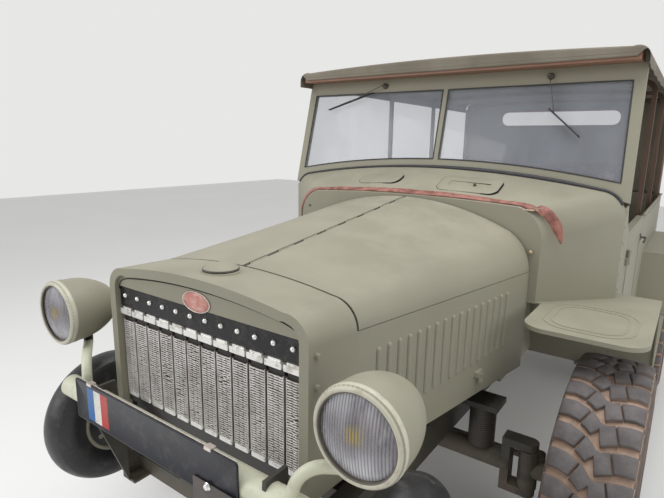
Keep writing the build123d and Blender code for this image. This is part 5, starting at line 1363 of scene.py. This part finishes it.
# Instruments: three dials on the dashboard's face, each a rim, a pale face with ticks, and a needle
dial_rims, dial_faces, dial_marks = [], [], []
for x, z, radius in ((0.12, 1.285, 0.046), (0, 1.29, 0.052), (-0.12, 1.285, 0.046)):
    middle = np.array([x, screen_y - 0.045, z])
    rim = mm(-2, 0, 9, 0, 10.5, -3, 8, -6, -2, -7, -2, 0) + (0, radius)
    dial_rims.append(lathe(rim, middle, turns=48))
    face = mm(-1, 0, -1, 1, 3.5, 1, 3.5, 0) * (1, 1000 * (radius - 0.005))
    dial_faces.append(lathe(face, middle, turns=48))
    # Each row is a mark's turn, its start and end as radii, its place, number of points and radius
    marks = [(turn, radius - 0.014, radius - 0.008, 0.0038, 3, 0.0009) for turn in np.linspace(-30, 210, 11)]
    marks.append((130, -0.008, radius - 0.014, 0.0048, 4, 0.0011))
    for turn, start, end, out, count, thick in marks:
        way = np.array([cos(radians(turn)), 0, sin(radians(turn))])
        line = np.linspace(start, end, count)[:, None] * way + middle + (0, out, 0)
        dial_marks.append(tube(line, thick, 6, up=(0, 1, 0)))
add_piece("dial_rims", dial_rims, "bright_metal", "black_paint")
add_piece("dial_faces", dial_faces, "dial_face", "black_paint")
add_piece("dial_marks", dial_marks, "seal_rubber", "black_paint")

# Floor and plain studio light; the camera, and glass, see a pale backdrop
floor_half = 14
floor_points = joined(np.linspace(floor_half, -floor_half, 3)[:, None], np.linspace(-floor_half, floor_half, 3), -0.001)
add_piece("floor", [patch(floor_points)], "pale_floor", closed=False)

world = bpy.data.worlds.new("studio")
bpy.context.scene.world = world
world.use_nodes = True
world_tree = world.node_tree
light_path, pale, choose, seen = (
    world_tree.nodes.new("ShaderNode" + kind) for kind in ("LightPath", "Background", "MixShader", "Math")
)
seen.operation = "MAXIMUM"
backdrop = world_tree.nodes["Background"]
backdrop.inputs["Color"].default_value = (1, 1, 1, 1)
backdrop.inputs["Strength"].default_value = 0.62
pale.inputs["Color"].default_value = (0.8, 0.8, 0.79, 1)
for output, socket in (
    (light_path.outputs["Is Camera Ray"], seen.inputs[0]),
    (light_path.outputs["Is Transmission Ray"], seen.inputs[1]),
    (seen.outputs[0], choose.inputs[0]),
    (backdrop.outputs[0], choose.inputs[1]),
    (pale.outputs[0], choose.inputs[2]),
    (choose.outputs[0], world_tree.nodes["World Output"].inputs["Surface"]),
):
    world_tree.links.new(output, socket)

# Each row is a lamp's name, place, aim, width and power
lamps = (
    ("over_lamp", (0.6, -1, 4.6), (0, -0.6, 0.9), 3.2, 105),
    ("front_lamp", (-2.4, -4.6, 2.6), (0, -1, 0.9), 2.4, 55),
    ("side_lamp", (4.6, -0.6, 2.4), (0.4, -0.4, 0.8), 2.4, 35),
)
for name, place, aim, width, power in lamps:
    light = bpy.data.lights.new(name, "AREA")
    light.size = width
    light.energy = power
    lamp = bpy.data.objects.new(name, light)
    bpy.context.scene.collection.objects.link(lamp)
    lamp.location = place
    lamp.rotation_euler = (Vector(aim) - Vector(place)).to_track_quat("-Z", "Y").to_euler()

bpy.context.scene.view_settings.view_transform = "Standard"
